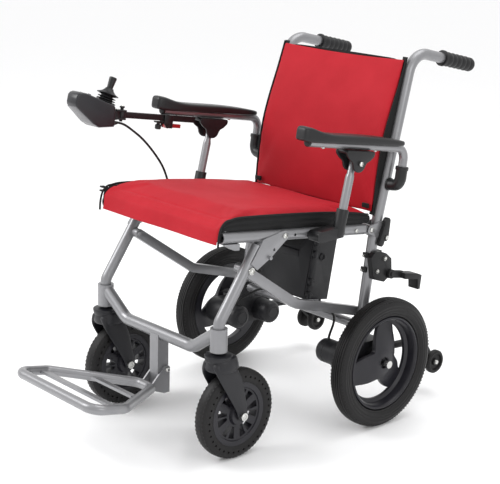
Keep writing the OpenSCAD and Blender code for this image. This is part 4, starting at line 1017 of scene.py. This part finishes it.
# ---- Push grips ----
# Soft rubber grips pushed onto the canes' handles, with a collar, five finger ridges and a
# rounded end.
grip_rubber = finish("grip_rubber", (0.01, 0.01, 0.011), (0.022, 0.022, 0.023), 0.45, patch=30, grain=700,
                     relief=0.00018, gloss=0.3)
grips = []
handle_slope = math.radians(12)
handle_way = (0, math.cos(handle_slope), -math.sin(handle_slope))
top_y, top_z = 33 + (708 - 277) * cane_lean, 863
for side in (1, -1):
    start = spot(side * 205, top_y + 104 * math.cos(handle_slope), top_z - 104 * math.sin(handle_slope))
    shape = [(0, 12.9), (0, 17.6), (1.4, 19), (6.4, 19), (8, 17.6), (9.5, 15.6)]
    for ring_at in range(5):
        base = 14 + ring_at * 16.5
        shape += [(base, 15.2), (base + 3, 16.4), (base + 8, 17.4), (base + 13, 16.4), (base + 15.5, 15.2)]
    shape += [(99, 16.6), (107, 16.8), (110.5, 15.4), (112, 12), (112.3, 6), (112.3, 0), (104.8, 0),
              (104.8, 12.9), (0, 12.9)]
    grips.append(lathe("grip", start, shape, 36, handle_way))
dress(joined("grip_pair", grips), grip_rubber, "rear_frame", "grip_rubber", "push_grips")

# ---- Controller ----
# A joystick box on a swinging bracket: a rounded two-part shell with a lighter tray beneath, four
# keys, a row of charge lamps, and a bellows under the stick.
shell_plastic = finish("shell_plastic", (0.011, 0.011, 0.014), (0.018, 0.018, 0.021), 0.32, patch=20,
                       grain=1300, coat=0.12, gloss=0.4)
tray_plastic = finish("tray_plastic", (0.1, 0.1, 0.107), (0.14, 0.14, 0.145), 0.4, patch=20, grain=1300,
                      coat=0.15)
stick_x, stick_along = -246, 74
key_places = {"power": (14, -16), "horn": (14, 16), "faster": (36, -20), "slower": (36, 20)}
face_tilt = math.atan2(725 - 760, -398 + 478)
face_way = Vector((0, math.cos(face_tilt), math.sin(face_tilt)))
face_up = Vector((0, -math.sin(face_tilt), math.cos(face_tilt)))
face_start = spot(stick_x, -478, 760)


def on_face(across_mm, along_mm, up_mm=0):
    """A place on the box's top face: sideways, back along it, and up from it."""
    return face_start + (Vector((across_mm, 0, 0)) + face_way * along_mm + face_up * up_mm) / 1000


def narrowed(piece):
    """Draws the box's sides in towards its front end."""
    middle = stick_x / 1000
    for vertex in piece.data.vertices:
        y = (vertex.co.y - axle_y) * 1000
        vertex.co.x = middle + (vertex.co.x - middle) * (0.66 + 0.34 * ramp(y, -512, -444))


box = slab("joystick_box", [
    (-502, 747), (-500, 755), (-494, 759.6), (-486, 761), (-476, 759), (-440, 742.6), (-404, 727),
    (-398.5, 722), (-401, 679), (-405, 676.4), (-447, 679), (-462, 689), (-500, 727), (-503.5, 733),
    (-504, 739)], -275, -217)
narrowed(bevelled(box, 5.5, 4, 50))
well = lathe("well", on_face(0, stick_along), [(-30, 0), (-30, 13), (6, 13), (6, 0)], 32, face_up)
key_seats = [lathe("key_seat", on_face(across_mm, along_mm), [(-6, 0), (-6, 4.3), (6, 4.3), (6, 0)], 20,
                   face_up) for along_mm, across_mm in key_places.values()]
window = trace("window", [on_face(a, b, -0.8) for a, b in ((-11, 18), (11, 18), (11, 27), (-11, 27))])
shaded(cut(box, [well, *key_seats, thickened(window, face_up * 0.004)]), 40)
dress(box, shell_plastic, "controller", "shell_plastic", "controller_shell")
tray = slab("box_tray", [
    (-503.2, 729), (-496, 733), (-490, 726), (-452, 691), (-446, 686), (-406, 683), (-402.4, 681),
    (-403, 675.6), (-446, 678), (-461, 687.6)], -272.5, -219.5)
narrowed(bevelled(tray, 1.8, 3, 30))
dress(tray, tray_plastic, "controller", "shell_plastic")
relief_boss = lathe("cable_boss", spot(-238, -393, 681), [
    (-8, 0), (-8, 6), (2, 6), (3.5, 5.2), (4.4, 4.8), (5, 4.4), (6.5, 4.6), (7.4, 4.3), (8, 3.7), (9.4, 4.1),
    (10.4, 3.8), (11, 3.3), (13, 3.2), (13, 0)], 24, (0, 1, 0))
dress(relief_boss, cable_rubber, "controller", "cable_rubber")
lamp_shape = [(-1.4, 0), (-1.4, 1.1), (-0.6, 1.1), (-0.3, 0.7), (-0.2, 0)]
lamps = [lathe("lamp", on_face(-7 + lamp_at * 3.5, 22.5), lamp_shape, 12, face_up) for lamp_at in range(5)]
lamp_glass = finish("lamp_glass", (0.05, 0.35, 0.08), (0.05, 0.3, 0.06), 0.15, coat=0.6)
dress(joined("charge_lamps", lamps), lamp_glass, "controller", "grey_plastic")

stick_foot = on_face(0, stick_along, 0.3)
bellows = lathe("bellows", stick_foot, [
    (0, 5.6), (0, 24), (1, 25), (2, 24), (3, 16), (4.4, 15), (5.4, 20), (6, 22.6), (6.8, 22.2), (7.8, 15.4),
    (9.4, 14.4), (10.8, 19.5), (11.4, 21.8), (12.2, 21.4), (13.2, 14.8), (15.4, 13.8), (16.6, 18),
    (17.2, 20.4), (18, 20), (18.6, 10), (18.8, 5.6), (0, 5.6)], 48, face_up)
dress(bellows, grip_rubber, "controller", "grip_rubber", "joystick_boot")
skirt = lathe("bellows_skirt", stick_foot, [
    (19.4, 14), (18.4, 24.6), (18.8, 26), (20.2, 25.6), (22, 20.5), (25, 15.5), (29, 11.5), (33, 9.4),
    (34.2, 8.2), (34.2, 4.2), (27, 5), (22, 12), (19.4, 14)], 48, face_up)
dress(skirt, grip_rubber, "joystick", "grip_rubber")
knob = lathe("stick_knob", on_face(0, stick_along), [
    (-22, 0), (-22, 3.9), (33, 3.9), (34, 6), (35, 7), (40, 7.5), (50, 8.3), (56, 8.9), (58, 9), (60, 8.5),
    (61, 7.2), (61.4, 4), (61, 0)], 32, face_up)
dress(knob, skin, "joystick", "grip_rubber", "joystick_knob")
cap_shape = [(-4, 0), (-4, 4), (1.2, 4), (1.8, 3.6), (2, 2.8), (1.7, 1.6), (1.6, 0)]
for key, (along_mm, across_mm) in key_places.items():
    cap = lathe(key + "_cap", on_face(across_mm, along_mm), cap_shape, 20, face_up)
    dress(cap, tray_plastic, key + "_key", "grey_plastic", key + "_button")

red_lever_plastic = finish("red_lever", (0.35, 0.01, 0.012), (0.25, 0.006, 0.008), 0.32, coat=0.3)
dress(softened("clamp_handle", "arm_clamp_lever", 1.4, 3), red_lever_plastic, "clamp_lever", "red_plastic",
      "arm_clamp_lever")
clamp_parts = [
    bevelled(slab("clamp_plate", [(-262, 669), (-236, 665), (-236, 669), (-262, 673)], -253, -239), 0.8),
    lathe("clamp_knob", spot(-246, -253, 670), [
        (-18, 0), (-18, 5.5), (-16.5, 7.4), (-8, 7.6), (-6.5, 6), (-5, 4), (1, 4), (1, 0)], 16,
          (0, 0.13, 0.99))]
dress(joined("clamp_adjuster", clamp_parts), nylon, "armrests", "black_plastic")
bolted("bracket_bolts", "controller", [
    button_bolt(spot(-246, y, z), radius, 1, (0, 0.148, 0.989))
    for y, z, radius in ((-360.2, 717.1, 4.2), (-374.4, 710.6, 3.5))])
